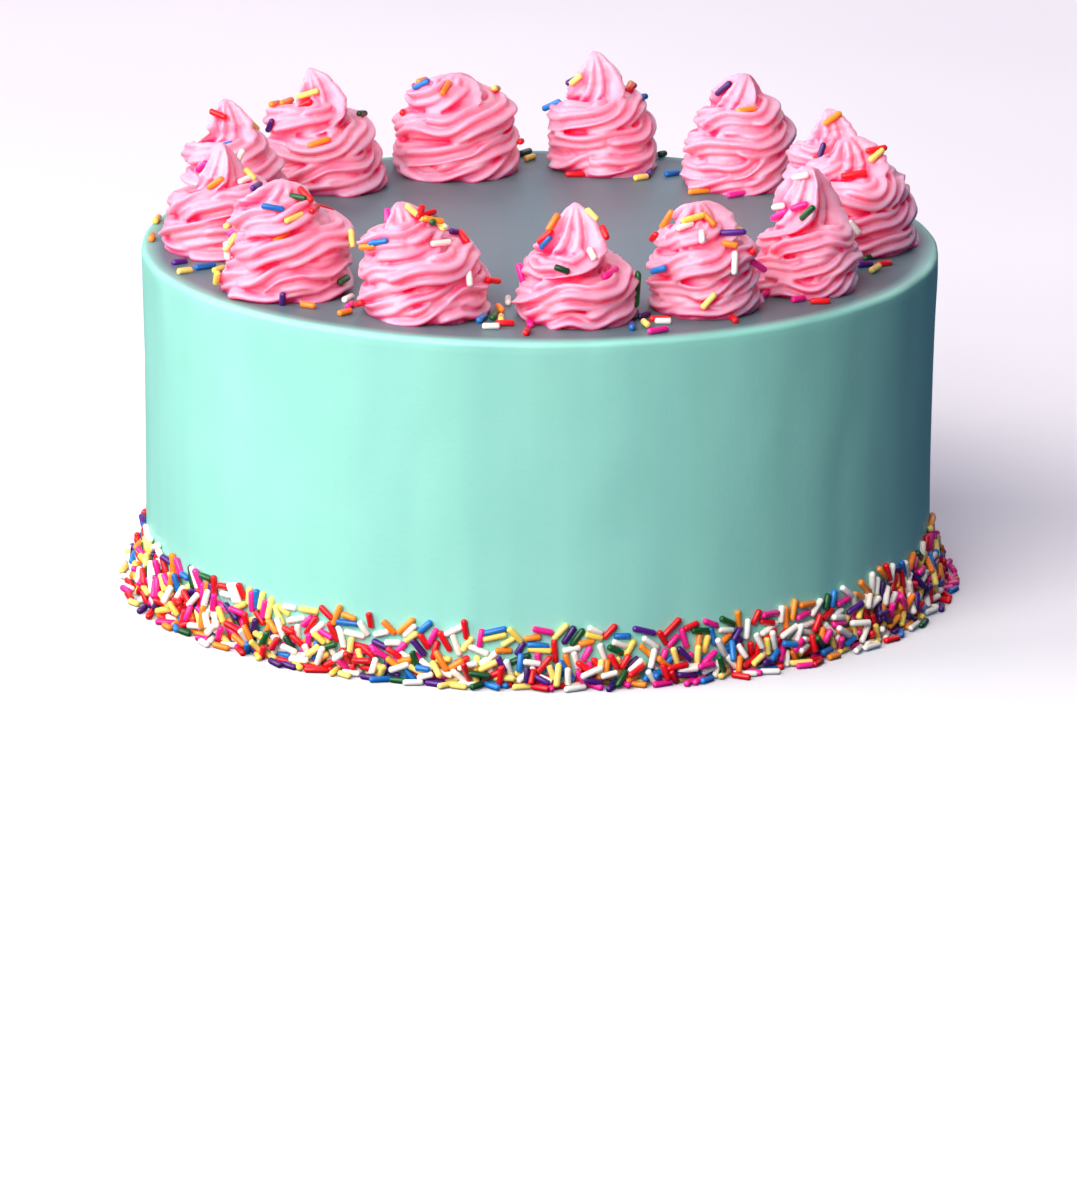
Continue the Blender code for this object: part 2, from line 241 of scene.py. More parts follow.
def smoothedButtercream():
    # Butter and sugar icing smoothed with a scraper: satin, softly see-through, with
    # faint upright streaks where the scraper turned and slightly darker patches. The
    # sugar's grain is 0.2 mm in real icing and drawn coarser, so that it shows.
    material, tree, shader = newMaterial("smoothedMintButtercream", {
        "Specular IOR Level": 0.4, "Subsurface Weight": 0.12,
        "Subsurface Radius": (0.6, 1.0, 0.9), "Subsurface Scale": 2 * mm})
    place = addNode(tree, "ShaderNodeTexCoord").outputs["Object"]
    patchSize, streakSize, grainSize = 35 * mm, 12 * mm, 1.2 * mm
    patches = addNode(tree, "ShaderNodeTexNoise", None, {
        "Vector": place, "Scale": 1 / patchSize, "Detail": 3.0, "Roughness": 0.55})
    upright = addNode(tree, "ShaderNodeMapping", None, {
        "Vector": place, "Scale": (1.0, 1.0, 0.06)})
    streaks = addNode(tree, "ShaderNodeTexNoise", None, {
        "Vector": upright, "Scale": 1 / streakSize, "Detail": 2.0})
    grain = addNode(tree, "ShaderNodeTexNoise", None, {
        "Vector": place, "Scale": 1 / grainSize, "Detail": 2.0})
    patchTint = addNode(tree, "ShaderNodeMix", {"data_type": "RGBA"}, {
        0: patches.outputs["Fac"], 6: srgb(coat["mint"]), 7: srgb(coat["paleMint"])})
    streakShare = addNode(tree, "ShaderNodeMapRange", None, {
        "Value": streaks.outputs["Fac"], "From Min": 0.35, "From Max": 0.75,
        "To Min": 0.0, "To Max": 0.35})
    tint = addNode(tree, "ShaderNodeMix", {"data_type": "RGBA"}, {
        0: streakShare, 6: patchTint.outputs[2], 7: srgb(coat["streakMint"])})
    # Painted shade: the top is darker and greyer than the scraped side, softly from the rim in,
    # and it dims the rounded edge's highlight
    rise = addNode(tree, "ShaderNodeSeparateXYZ", None, {"Vector": place})
    lifted = addNode(tree, "ShaderNodeMapRange", None, {
        "Value": rise.outputs["Z"], "From Min": cakeTop - coat["edgeRound"],
        "From Max": cakeTop - coat["edgeRound"] + 1 * mm})
    level = addNode(tree, "ShaderNodeVectorMath", {"operation": "MULTIPLY"}, {
        0: place, 1: (1.0, 1.0, 0.0)})
    outward = addNode(tree, "ShaderNodeVectorMath", {"operation": "LENGTH"}, {0: level})
    lip = coat["radius"] + coat["lipOut"]
    inward = addNode(tree, "ShaderNodeMapRange", None, {
        "Value": outward.outputs["Value"],
        "From Min": lip - coat["mintBand"], "From Max": lip - coat["topShadeBand"]})
    softly = addNode(tree, "ShaderNodeMath", {"operation": "POWER"}, {0: inward, 1: 0.6})
    topShadeShare = addNode(tree, "ShaderNodeMath", {"operation": "MULTIPLY"}, {0: softly, 1: lifted})
    # Painted shade: the top's darker, greyer mint
    topShadeTint = addNode(tree, "ShaderNodeMix", {"data_type": "RGBA"}, {
        0: patches.outputs["Fac"], 6: srgb(coat["shadedTopMint"]), 7: srgb(coat["paleShadedTopMint"])})
    whole = addNode(tree, "ShaderNodeMix", {"data_type": "RGBA"}, {
        0: topShadeShare, 6: tint.outputs[2], 7: topShadeTint.outputs[2]})
    tree.links.new(whole.outputs[2], shader.inputs["Base Color"])
    gloss = addNode(tree, "ShaderNodeMapRange", None, {
        "Value": patches.outputs["Fac"], "To Min": 0.38, "To Max": 0.50})
    tree.links.new(gloss.outputs[0], shader.inputs["Roughness"])
    relief = addNode(tree, "ShaderNodeMath", {"operation": "MULTIPLY_ADD"}, {
        0: streaks.outputs["Fac"], 1: 0.3, 2: grain.outputs["Fac"]})
    bump = addNode(tree, "ShaderNodeBump", None, {
        "Strength": 0.35, "Distance": 0.00012, "Height": relief})
    tree.links.new(bump.outputs[0], shader.inputs["Normal"])
    return material


def coatOutline():
    # Half the cross-section, from the middle of the underside to the middle of the top.
    radius, foot, edge = coat["radius"], coat["footRound"], coat["edgeRound"]
    lip = radius + coat["lipOut"]
    outline = [(radius * share, 0.0) for share in (0.3, 0.6, 0.85)]
    for step in range(4):
        turn = 0.5 * math.pi * step / 3
        outline.append((radius - foot + foot * math.sin(turn), foot - foot * math.cos(turn)))
    rows = coat["wallRows"]
    for row in range(1, rows):
        share = row / rows
        height = foot + (cakeTop - edge - foot) * share
        outline.append((radius + coat["lipOut"] * share ** 2, height))
    for step in range(7):
        turn = 0.5 * math.pi * step / 6
        outline.append((
            lip - edge + edge * math.cos(turn), cakeTop - edge + edge * math.sin(turn)))
    rings = coat["topRings"]
    for ring in range(1, rings):
        outline.append(((lip - edge) * (1 - ring / rings), cakeTop))
    return outline


def makeCoat():
    outline, sides = coatOutline(), coat["sides"]
    points, faces = [(0.0, 0.0, 0.0)], []
    for radius, height in outline:
        onWall = min(1.0, radius / coat["radius"]) ** 8
        for side in range(sides):
            turn = 2 * math.pi * side / sides
            outward = Vector((math.cos(turn), math.sin(turn), 0.0))
            spot = outward * radius + Vector((0.0, 0.0, height))
            swell = noise.noise(spot * 28.0) * coat["unevenness"]
            waver = noise.noise(Vector((spot.x * 40.0, spot.y * 40.0, height * 26.0))) * 0.9
            streak = noise.noise(Vector((
                spot.x * 75.0 + waver, spot.y * 75.0 - waver, height * 11.0)))
            nearRim = max(0.0, 1 - (cakeTop - height) / coat["rimBand"])
            streak += nearRim * noise.noise(spot * 70.0) * coat["rimWaver"] / coat["streakDepth"]
            reach = radius + onWall * (swell + streak * coat["streakDepth"])
            lift = noise.noise(spot * 22.0 + Vector((7.0, 3.0, 1.0))) * coat["unevenness"]
            rise = height + (lift if height > 0.5 * cakeTop else 0.0) * (1 - onWall)
            points.append((outward.x * reach, outward.y * reach, rise))
    points.append((0.0, 0.0, cakeTop))
    last = len(points) - 1
    for side in range(sides):
        after = (side + 1) % sides
        faces.append((0, 1 + after, 1 + side))
        top = 1 + (len(outline) - 1) * sides
        faces.append((last, top + side, top + after))
        for row in range(len(outline) - 1):
            low, high = 1 + row * sides, 1 + (row + 1) * sides
            faces.append((low + side, low + after, high + after, high + side))
    mesh = bpy.data.meshes.new("icingCoat")
    mesh.from_pydata(points, [], faces)
    smoothShade(mesh)
    piece = addPiece("icingCoat", mesh)
    mesh.materials.append(smoothedButtercream())
    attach(piece, "root")
    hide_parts("cake")
    print("coat", len(mesh.polygons))
    return piece


# The piped swirls: a ribbed rope of icing laid in shrinking rings and pulled up

swirl = {
    "ropeShare": 0.38,       # rope radius as a share of the swirl's base radius
    "riseShare": 0.37,       # height gained in one turn, the same way
    "lowShare": 0.55,        # how high the lowest ring lies, in rope heights
    "flatTurns": 0.75,       # turns laid flat on the cake before the climb
    "peakTurns": 0.35,       # turns in which the rope comes to the middle
    "shrink": 10.0,          # high keeps the sides upright, low makes a cone
    "flatness": 0.76,        # how high the sunken rope is as a share of its width
    "ridges": 8,
    "ridgeDepth": 0.44,      # as a share of the rope's radius
    "ridgeSharpness": 0.5,   # low makes broad ridges with narrow folds
    "gather": 1.6,           # how soon the last of the rope comes to the middle
    "tipTaper": 0.45,
    "ropeEndShare": 0.12,    # how far the rope's end rises, as a share of the height
    "wobble": 0.05,          # how unevenly wide the rings are, as a share
    "throb": 0.08,           # how unevenly thick the rope is, as a share
    "driftRate": 9.0,        # how many times both change along the rope
    "twist": 0.75,           # how far the ridges sway, in radians
    "swayRate": 14.0,        # how many times they sway along the rope
    "unevenness": 0.0006,
    "lumpSize": 0.009,
    "steadyTwist": -4.2,     # the ridges' own turn about the rope, in radians a turn
    "fingerStart": 0.50,     # where the ridges start, in turns from the right
    "fingerSpread": 0.32,    # how far apart they start, in turns
    "fingerTip": 0.035,      # the turn that a ridge takes to swell to its full height
    "fingerFade": 0.75,      # how much of it is gone after a whole turn
    "dropFoot": 0.16,        # share of the drop that bulges out at its foot
    "dropCurl": -2.2,        # how far the drop's ridges hook round at its foot
    "dropDeeper": 1.35,      # how many times deeper the drop's ridges are
    "dropRound": 0.1,        # how long since they started, in turns: they stand full
    "foot": 0.0006,          # what is cut off flat below
    "sink": 0.0003,          # how far the foot presses into the coat
    "pathPoints": 260,
    "dropPoints": 60,
    "ropeSides": 96,
    "voxel": 0.00040,
    "softening": 2,
    "seedStep": 3.7,
    "pink": "#FF8FAC",
    "palePink": "#FFAFC5",
    # Painted shade: an occlusion mask tints the folds this deeper pink, as far across as the next
    # value
    "creaseShadePink": "#FF317D",
    "creaseShadeReach": 0.004,      # how wide a fold may be and still look deeper pink
}

# Bearing clockwise from the front in degrees, then in millimetres the distance from
# the middle of the cake, base radius, height and lean of the peak to the right, then
# the bearing where the rope ends and the share of the height where its rings end.
# The last five are the drop that closes the top: where it starts as a share of the
# height, its radius as a share of the base, its taper (low is a dome, high a spire),
# its turn in radians and how far left of the middle it stands in millimetres.
swirlRows = (
    (-84, 84.0, 16.2, 29.5, 1.0, 200, 0.58, 0.44, 0.80, 0.70, 0.5, 0.0),
    (-52, 82.5, 18.3, 29.5, 0.5, 40, 0.70, 0.54, 0.84, 0.36, 1.6, 1.5),
    (-22, 77.5, 18.2, 29.4, -3.5, 0, 0.66, 0.40, 0.86, 0.66, 0.9, 3.6),
    (7, 77.0, 17.2, 30.5, -0.5, 10, 0.47, 0.39, 0.94, 0.68, 0.3, 0.0),
    (32, 79.0, 15.7, 28.5, -1.5, 30, 0.70, 0.54, 0.88, 0.38, 1.2, 1.0),
    (56, 81.5, 15.0, 33.0, 1.5, 150, 0.48, 0.38, 1.04, 0.56, 0.4, 0.0),
    (89, 82.7, 17.2, 30.0, -3.5, 300, 0.68, 0.50, 0.80, 0.46, 0.9, 0.0),
    (112, 84.5, 14.8, 30.0, -3.0, 20, 0.62, 0.46, 0.84, 0.60, 0.4, 0.0),
    (142, 85.0, 16.2, 31.0, 2.5, 100, 0.66, 0.50, 0.82, 0.54, 0.8, 0.0),
    (169, 87.0, 16.2, 32.8, -2.5, 240, 0.60, 0.46, 0.82, 0.66, 0.4, 0.0),
    (196, 85.0, 18.6, 27.0, 0.5, 330, 0.76, 0.54, 0.84, 0.34, 1.2, 0.0),
    (222, 85.0, 17.0, 33.0, -5.0, 45, 0.60, 0.46, 0.78, 0.68, 0.5, 0.0),
    (247, 87.5, 14.8, 31.0, -3.0, 170, 0.62, 0.46, 0.82, 0.60, 0.5, 0.0),
)

# How the rope runs, one Math node a row: result, operation, first and second term.
# "share" is how far along the rope a point is, and the rest are inputs or results.
ropeRule = (
    ("totalTurns", "ADD", "bodyTurns", "peakTurns"),
    ("turns", "MULTIPLY", "share", "totalTurns"),
    ("pastBody", "SUBTRACT", "turns", "bodyTurns"),
    ("pulled", "DIVIDE", "pastBody", "peakTurns"),
    ("pull", "MAXIMUM", "pulled", 0.0),
    ("shrunk", "POWER", "share", "shrink"),
    ("kept", "SUBTRACT", 1.0, "shrunk"),
    ("ringRadius", "SUBTRACT", "baseRadius", "ropeRadius"),
    ("ringReach", "MULTIPLY", "ringRadius", "kept"),
    ("gathered", "MULTIPLY", "pull", "gather"),
    ("gatheredPart", "MINIMUM", "gathered", 1.0),
    ("gatheredSquare", "MULTIPLY", "gatheredPart", "gatheredPart"),
    ("ungathered", "SUBTRACT", 1.0, "gatheredSquare"),
    ("evenReach", "MULTIPLY", "ringReach", "ungathered"),
    ("reach", "MULTIPLY", "evenReach", "wobble"),
    ("turnsLeft", "SUBTRACT", "turns", "totalTurns"),
    ("spin", "MULTIPLY", "turnsLeft", 2 * math.pi),
    ("bearing", "ADD", "spin", "endBearing"),
    ("bearingShare", "DIVIDE", "bearing", 2 * math.pi),
    ("sinceLeft", "SUBTRACT", "bearingShare", "fingerStart"),
    ("evenTwist", "MULTIPLY", "turns", "steadyTwist"),
    ("cosine", "COSINE", "bearing", 0.0),
    ("sine", "SINE", "bearing", 0.0),
    ("ringX", "MULTIPLY", "reach", "cosine"),
    ("ringY", "MULTIPLY", "reach", "sine"),
    ("bend", "MULTIPLY", "share", "share"),
    ("leanX", "MULTIPLY", "bend", "lean"),
    ("ropeX", "ADD", "ringX", "leanX"),
    ("bodyOnly", "MINIMUM", "turns", "bodyTurns"),
    ("climbing", "SUBTRACT", "bodyOnly", "flatTurns"),
    ("climbSquare", "MULTIPLY", "climbing", "climbing"),
    ("climbEased", "ADD", "climbSquare", 0.06),
    ("climbRoot", "SQRT", "climbEased", 0.0),
    ("climbSum", "ADD", "climbRoot", "climbing"),
    ("climb", "MULTIPLY", "climbSum", 0.5),
    ("climbed", "MULTIPLY", "climb", "ringRise"),
    ("bodyHeight", "ADD", "climbed", "lowestRing"),
    ("tipRise", "MULTIPLY", "ropeEnd", "pull"),
    ("ropeZ", "ADD", "bodyHeight", "tipRise"),
    ("left", "SUBTRACT", 1.02, "pull"),
    ("taper", "POWER", "left", "tipTaper"),
    ("evenWidth", "MULTIPLY", "taper", "ropeRadius"),
    ("ropeWidth", "MULTIPLY", "evenWidth", "throb"),
    ("upright", "DIVIDE", "pull", 0.8),
    ("uprightShare", "MINIMUM", "upright", 1.0),
    ("spare", "SUBTRACT", 1.0, "flatness"),
    ("rounded", "MULTIPLY", "spare", "uprightShare"),
    ("sectionFlatness", "ADD", "flatness", "rounded"),
)

# The drop of icing that closes the top, along its own share from foot to tip.
dropRule = (
    ("dropLeft", "SUBTRACT", 1.0, "share"),
    ("dropTapered", "POWER", "dropLeft", "dropTaper"),
    ("dropFootPart", "DIVIDE", "share", "dropFoot"),
    ("dropFootShare", "MINIMUM", "dropFootPart", 1.0),
    ("dropFootLeft", "SUBTRACT", 2.0, "dropFootShare"),
    ("dropFootSquare", "MULTIPLY", "dropFootShare", "dropFootLeft"),
    ("dropFootSwell", "SQRT", "dropFootSquare", 0.0),
    ("dropShape", "MULTIPLY", "dropTapered", "dropFootSwell"),
    ("dropEven", "MULTIPLY", "dropShape", "dropRadius"),
    ("dropWidth", "MULTIPLY", "dropEven", "throb"),
    ("dropRise", "SUBTRACT", "height", "dropStart"),
    ("dropClimb", "MULTIPLY", "dropRise", "share"),
    ("dropZ", "ADD", "dropClimb", "dropStart"),
    ("dropBend", "POWER", "share", 1.6),
    ("dropLean", "MULTIPLY", "dropBend", "lean"),
    ("dropX", "SUBTRACT", "dropLean", "dropLeftward"),
    ("dropEvenTilt", "MULTIPLY", "share", "dropTurn"),
    ("dropFootCurl", "POWER", "dropLeft", 5.0),
    ("dropHook", "MULTIPLY", "dropFootCurl", "dropCurl"),
    ("dropTilt", "ADD", "dropEvenTilt", "dropHook"),
)

# The ridges that the nozzle's teeth leave. Each one starts as a round finger on the
# left side of every turn and fades on its way round to the back.
ridgeRule = (
    ("ridgeTurns", "MULTIPLY", "around", "ridges"),
    ("ridgeAngle", "MULTIPLY", "ridgeTurns", 2 * math.pi),
    ("wave", "COSINE", "ridgeAngle", 0.0),
    ("halfWave", "MULTIPLY", "wave", 0.5),
    ("crestWave", "ADD", "halfWave", 0.5),
    ("crest", "POWER", "crestWave", "ridgeSharpness"),
    ("ridgeWhole", "ROUND", "ridgeTurns", 0.0),
    ("ridgeSpread", "MULTIPLY", "ridgeWhole", 0.618),
    ("ridgeDraw", "FRACT", "ridgeSpread", 0.0),
    ("ridgeDelay", "MULTIPLY", "ridgeDraw", "fingerSpread"),
    ("late", "SUBTRACT", "roundShare", "ridgeDelay"),
    ("sinceStart", "FRACT", "late", 0.0),
    ("swelling", "DIVIDE", "sinceStart", "fingerTip"),
    ("swollen", "MINIMUM", "swelling", 1.0),
    ("swollenLeft", "SUBTRACT", 2.0, "swollen"),
    ("swollenRound", "MULTIPLY", "swollen", "swollenLeft"),
    ("faded", "MULTIPLY", "sinceStart", "fingerFade"),
    ("strength", "SUBTRACT", "swollenRound", "faded"),
    ("crestHere", "MULTIPLY", "crest", "strength"),
    ("valley", "SUBTRACT", 1.0, "crestHere"),
    ("depthHere", "MULTIPLY", "deepness", "ridgeDepth"),
    ("cut", "MULTIPLY", "valley", "depthHere"),
    ("ridgeReach", "SUBTRACT", 1.0, "cut"),
)

swirlInputs = (
    ("baseRadius", "FLOAT"), ("height", "FLOAT"), ("lean", "FLOAT"),
    ("endBearing", "FLOAT"), ("bodyTurns", "FLOAT"), ("peakTurns", "FLOAT"),
    ("ropeRadius", "FLOAT"), ("lowestRing", "FLOAT"), ("ringRise", "FLOAT"),
    ("flatTurns", "FLOAT"), ("shrink", "FLOAT"), ("flatness", "FLOAT"), ("ridges", "FLOAT"),
    ("ridgeDepth", "FLOAT"), ("ridgeSharpness", "FLOAT"), ("unevenness", "FLOAT"),
    ("seed", "FLOAT"), ("pathPoints", "INT"), ("ropeSides", "INT"), ("foot", "FLOAT"),
    ("gather", "FLOAT"), ("tipTaper", "FLOAT"), ("twist", "FLOAT"), ("ropeEnd", "FLOAT"),
    ("dropStart", "FLOAT"), ("dropRadius", "FLOAT"), ("dropTaper", "FLOAT"),
    ("dropTurn", "FLOAT"), ("dropLeftward", "FLOAT"), ("dropFoot", "FLOAT"),
    ("dropPoints", "INT"), ("dropCurl", "FLOAT"), ("fingerStart", "FLOAT"),
    ("fingerSpread", "FLOAT"), ("fingerTip", "FLOAT"), ("fingerFade", "FLOAT"),
    ("steadyTwist", "FLOAT"),
    ("place", "VECTOR"), ("icing", "MATERIAL"),
)


def pipedButtercream():
    # Butter and sugar icing straight from the nozzle: satin, and light sinks into it,
    # so the folds glow a deeper pink than the ridges. An occlusion mask also tints the
    # folds a deeper pink, which is painted shade. The grain is drawn coarser than the
    # real 0.2 mm, so that it shows.
    material, tree, shader = newMaterial("pipedPinkButtercream", {
        "Specular IOR Level": 0.7, "Subsurface Weight": 0.85,
        "Subsurface Radius": (1.0, 0.14, 0.18), "Subsurface Scale": 9 * mm})
    place = addNode(tree, "ShaderNodeTexCoord").outputs["Object"]
    patchSize, grainSize = 9 * mm, 0.8 * mm
    patches = addNode(tree, "ShaderNodeTexNoise", None, {
        "Vector": place, "Scale": 1 / patchSize, "Detail": 2.0})
    grain = addNode(tree, "ShaderNodeTexNoise", None, {
        "Vector": place, "Scale": 1 / grainSize, "Detail": 2.0})
    ridgeTint = addNode(tree, "ShaderNodeMix", {"data_type": "RGBA"}, {
        0: patches.outputs["Fac"], 6: srgb(swirl["pink"]), 7: srgb(swirl["palePink"])})
    # Painted shade: an occlusion mask tints the folds the deeper pink
    folds = addNode(tree, "ShaderNodeAmbientOcclusion", {"samples": 8}, {
        "Distance": swirl["creaseShadeReach"]})
    depth = addNode(tree, "ShaderNodeMapRange", None, {
        "Value": folds.outputs["AO"], "From Min": 0.25, "From Max": 0.85,
        "To Min": 1.0, "To Max": 0.0})
    tint = addNode(tree, "ShaderNodeMix", {"data_type": "RGBA"}, {
        0: depth, 6: ridgeTint.outputs[2], 7: srgb(swirl["creaseShadePink"])})
    tree.links.new(tint.outputs[2], shader.inputs["Base Color"])
    gloss = addNode(tree, "ShaderNodeMapRange", None, {
        "Value": patches.outputs["Fac"], "To Min": 0.33, "To Max": 0.42})
    tree.links.new(gloss.outputs[0], shader.inputs["Roughness"])
    bump = addNode(tree, "ShaderNodeBump", None, {
        "Strength": 0.25, "Distance": 0.00008, "Height": grain.outputs["Fac"]})
    tree.links.new(bump.outputs[0], shader.inputs["Normal"])
    return material


def newTree(name, inputs):
    # An empty Geometry Nodes tree with named inputs, and the sockets they arrive at.
    tree = bpy.data.node_groups.new(name, "GeometryNodeTree")
    tree.interface.new_socket("Geometry", in_out="INPUT", socket_type="NodeSocketGeometry")
    tree.interface.new_socket("Geometry", in_out="OUTPUT", socket_type="NodeSocketGeometry")
    kinds = {"FLOAT": "NodeSocketFloat", "INT": "NodeSocketInt",
             "VECTOR": "NodeSocketVector", "MATERIAL": "NodeSocketMaterial"}
    for label, kind in inputs:
        tree.interface.new_socket(label, in_out="INPUT", socket_type=kinds[kind])
    entry = addNode(tree, "NodeGroupInput")
    terms = {label: entry.outputs[label] for label, kind in inputs}
    terms["Geometry"] = entry.outputs["Geometry"]
    return tree, terms


def followRule(tree, rule, terms):
    # One Math node for each row of a rule.
    for result, operation, first, second in rule:
        node = addNode(tree, "ShaderNodeMath", {"operation": operation}, {
            0: terms.get(first, first) if isinstance(first, str) else first,
            1: terms.get(second, second) if isinstance(second, str) else second,
        })
        terms[result] = node.outputs[0]


def runTree(piece, tree, values):
    # Puts the tree on a piece and sets its inputs by their identifiers.
    modifier = piece.modifiers.new(tree.name, "NODES")
    modifier.node_group = tree
    for item in tree.interface.items_tree:
        if item.item_type == "SOCKET" and item.in_out == "INPUT" and item.name in values:
            modifier[item.identifier] = values[item.name]
    return modifier


def readValue(tree, name, kind="FLOAT"):
    # A value that was stored on the points.
    return addNode(tree, "GeometryNodeInputNamedAttribute", {"data_type": kind}, {
        "Name": name}).outputs["Attribute"]


def storeValue(tree, geometry, name, value, kind="FLOAT"):
    return addNode(tree, "GeometryNodeStoreNamedAttribute", {
        "data_type": kind, "domain": "POINT"}, {
        "Geometry": geometry, "Name": name, "Value": value})


def layLine(tree, line, place, values):
    # Puts a line's points in place, with the numbers and the middle that they keep.
    for label, value in values.items():
        line = storeValue(tree, line, label, value)
    line = storeValue(tree, line, "middleHere", place, "FLOAT_VECTOR")
    return addNode(tree, "GeometryNodeSetPosition", None, {
        "Geometry": line, "Position": readValue(tree, "middleHere", "FLOAT_VECTOR")})


def noiseAlong(tree, rate, terms, share):
    # Noise along a line: how fast it changes is given, and the seed shifts it.
    spot = addNode(tree, "ShaderNodeMath", {"operation": "MULTIPLY_ADD"}, {
        0: share, 1: rate, 2: terms["seed"]})
    return addNode(tree, "ShaderNodeTexNoise", {"noise_dimensions": "1D"}, {
        "W": spot, "Scale": 1.0, "Detail": 1.0})


def spreadNoise(tree, value, low, high):
    # Noise mostly lies between a quarter and three quarters.
    return addNode(tree, "ShaderNodeMapRange", None, {
        "Value": value, "From Min": 0.25, "From Max": 0.75, "To Min": low, "To Max": high})


def pipedSwirlTree():
    tree, terms = newTree("pipedSwirl", swirlInputs)
    # The rope's middle line
    line = addNode(tree, "GeometryNodeCurvePrimitiveLine", None, {"End": (0.0, 0.0, 1.0)})
    points = addNode(tree, "GeometryNodeResampleCurve", None, {
        "Curve": line, "Count": terms["pathPoints"]})
    terms["share"] = addNode(tree, "GeometryNodeSplineParameter").outputs["Factor"]
    drift = noiseAlong(tree, swirl["driftRate"], terms, terms["share"])
    terms["wobble"] = spreadNoise(
        tree, drift.outputs["Fac"], 1 - swirl["wobble"], 1 + swirl["wobble"]).outputs[0]
    terms["throb"] = spreadNoise(
        tree, drift.outputs["Color"], 1 - swirl["throb"], 1 + swirl["throb"]).outputs[0]
    followRule(tree, ropeRule, terms)
    ropePlace = addNode(tree, "ShaderNodeCombineXYZ", None, {
        "X": terms["ropeX"], "Y": terms["ringY"], "Z": terms["ropeZ"]})
    path = layLine(tree, points, ropePlace, {
        "flatHere": terms["sectionFlatness"], "widthHere": terms["ropeWidth"],
        "pullHere": terms["pull"], "roundHere": terms["sinceLeft"],
        "twistHere": terms["evenTwist"], "shareHere": terms["share"], "deepHere": 1.0})
    steady = addNode(tree, "GeometryNodeSetCurveNormal", {"mode": "Z_UP"}, {"Curve": path})
    sway = noiseAlong(tree, swirl["swayRate"], terms, readValue(tree, "shareHere"))
    tilt = addNode(tree, "ShaderNodeMath", {"operation": "MULTIPLY_ADD"}, {
        0: spreadNoise(tree, sway.outputs["Fac"], -1.0, 1.0), 1: terms["twist"],
        2: readValue(tree, "twistHere")})
    tilted = addNode(tree, "GeometryNodeSetCurveTilt", None, {"Curve": steady, "Tilt": tilt})
    # The nozzle's round, which keeps how far round it each point is
    circle = addNode(tree, "GeometryNodeCurvePrimitiveCircle", {"mode": "RADIUS"}, {
        "Resolution": terms["ropeSides"], "Radius": 1.0})
    ring = storeValue(tree, circle, "aroundHere",
                      addNode(tree, "GeometryNodeSplineParameter").outputs["Factor"])
    rope = addNode(tree, "GeometryNodeCurveToMesh", None, {
        "Curve": tilted, "Profile Curve": ring, "Scale": readValue(tree, "widthHere"),
        "Fill Caps": True})
    # The drop: the same nozzle, lifted straight up
    post = addNode(tree, "GeometryNodeResampleCurve", None, {
        "Curve": line, "Count": terms["dropPoints"]})
    followRule(tree, dropRule, terms)
    postPlace = addNode(tree, "ShaderNodeCombineXYZ", None, {
        "X": terms["dropX"], "Z": terms["dropZ"]})
    postPath = layLine(tree, post, postPlace, {
        "flatHere": 1.0, "widthHere": terms["dropWidth"], "pullHere": 0.0,
        "roundHere": swirl["dropRound"], "twistHere": terms["dropTilt"],
        "deepHere": swirl["dropDeeper"]})
    postTilt = addNode(tree, "GeometryNodeSetCurveTilt", None, {
        "Curve": postPath, "Tilt": readValue(tree, "twistHere")})
    drop = addNode(tree, "GeometryNodeCurveToMesh", None, {
        "Curve": postTilt, "Profile Curve": ring, "Scale": readValue(tree, "widthHere"),
        "Fill Caps": True})
    icings = addNode(tree, "GeometryNodeJoinGeometry", None, {"Geometry": rope})
    tree.links.new(drop.outputs[0], icings.inputs[0])
    # Ridges, and the rope sinks under its own weight
    terms["around"] = readValue(tree, "aroundHere")
    terms["roundShare"] = readValue(tree, "roundHere")
    terms["deepness"] = readValue(tree, "deepHere")
    followRule(tree, ridgeRule, terms)
    middle = readValue(tree, "middleHere", "FLOAT_VECTOR")
    spoke = addNode(tree, "ShaderNodeVectorMath", {"operation": "SUBTRACT"}, {
        0: addNode(tree, "GeometryNodeInputPosition"), 1: middle})
    ridged = addNode(tree, "ShaderNodeVectorMath", {"operation": "SCALE"}, {
        "Vector": spoke, "Scale": terms["ridgeReach"]})
    squash = addNode(tree, "ShaderNodeCombineXYZ", None, {
        "X": 1.0, "Y": 1.0, "Z": readValue(tree, "flatHere")})
    sunk = addNode(tree, "ShaderNodeVectorMath", {"operation": "MULTIPLY_ADD"}, {
        0: ridged, 1: squash, 2: middle})
    laid = addNode(tree, "GeometryNodeSetPosition", None, {
        "Geometry": icings, "Position": sunk})
    # The middle of the rings, filled
    inPeak = addNode(tree, "FunctionNodeCompare", {"operation": "GREATER_THAN"}, {
        "A": readValue(tree, "pullHere"), "B": 0.1})
    rings = addNode(tree, "GeometryNodeDeleteGeometry", {"domain": "POINT"}, {
        "Geometry": path, "Selection": inPeak})
    shadow = addNode(tree, "GeometryNodeTransform", None, {
        "Geometry": rings, "Scale": (1.0, 1.0, 0.0)})
    both = addNode(tree, "GeometryNodeJoinGeometry", None, {"Geometry": rings})
    tree.links.new(shadow.outputs[0], both.inputs[0])
    core = addNode(tree, "GeometryNodeConvexHull", None, {"Geometry": both})
    whole = addNode(tree, "GeometryNodeJoinGeometry", None, {"Geometry": laid})
    tree.links.new(core.outputs[0], whole.inputs[0])
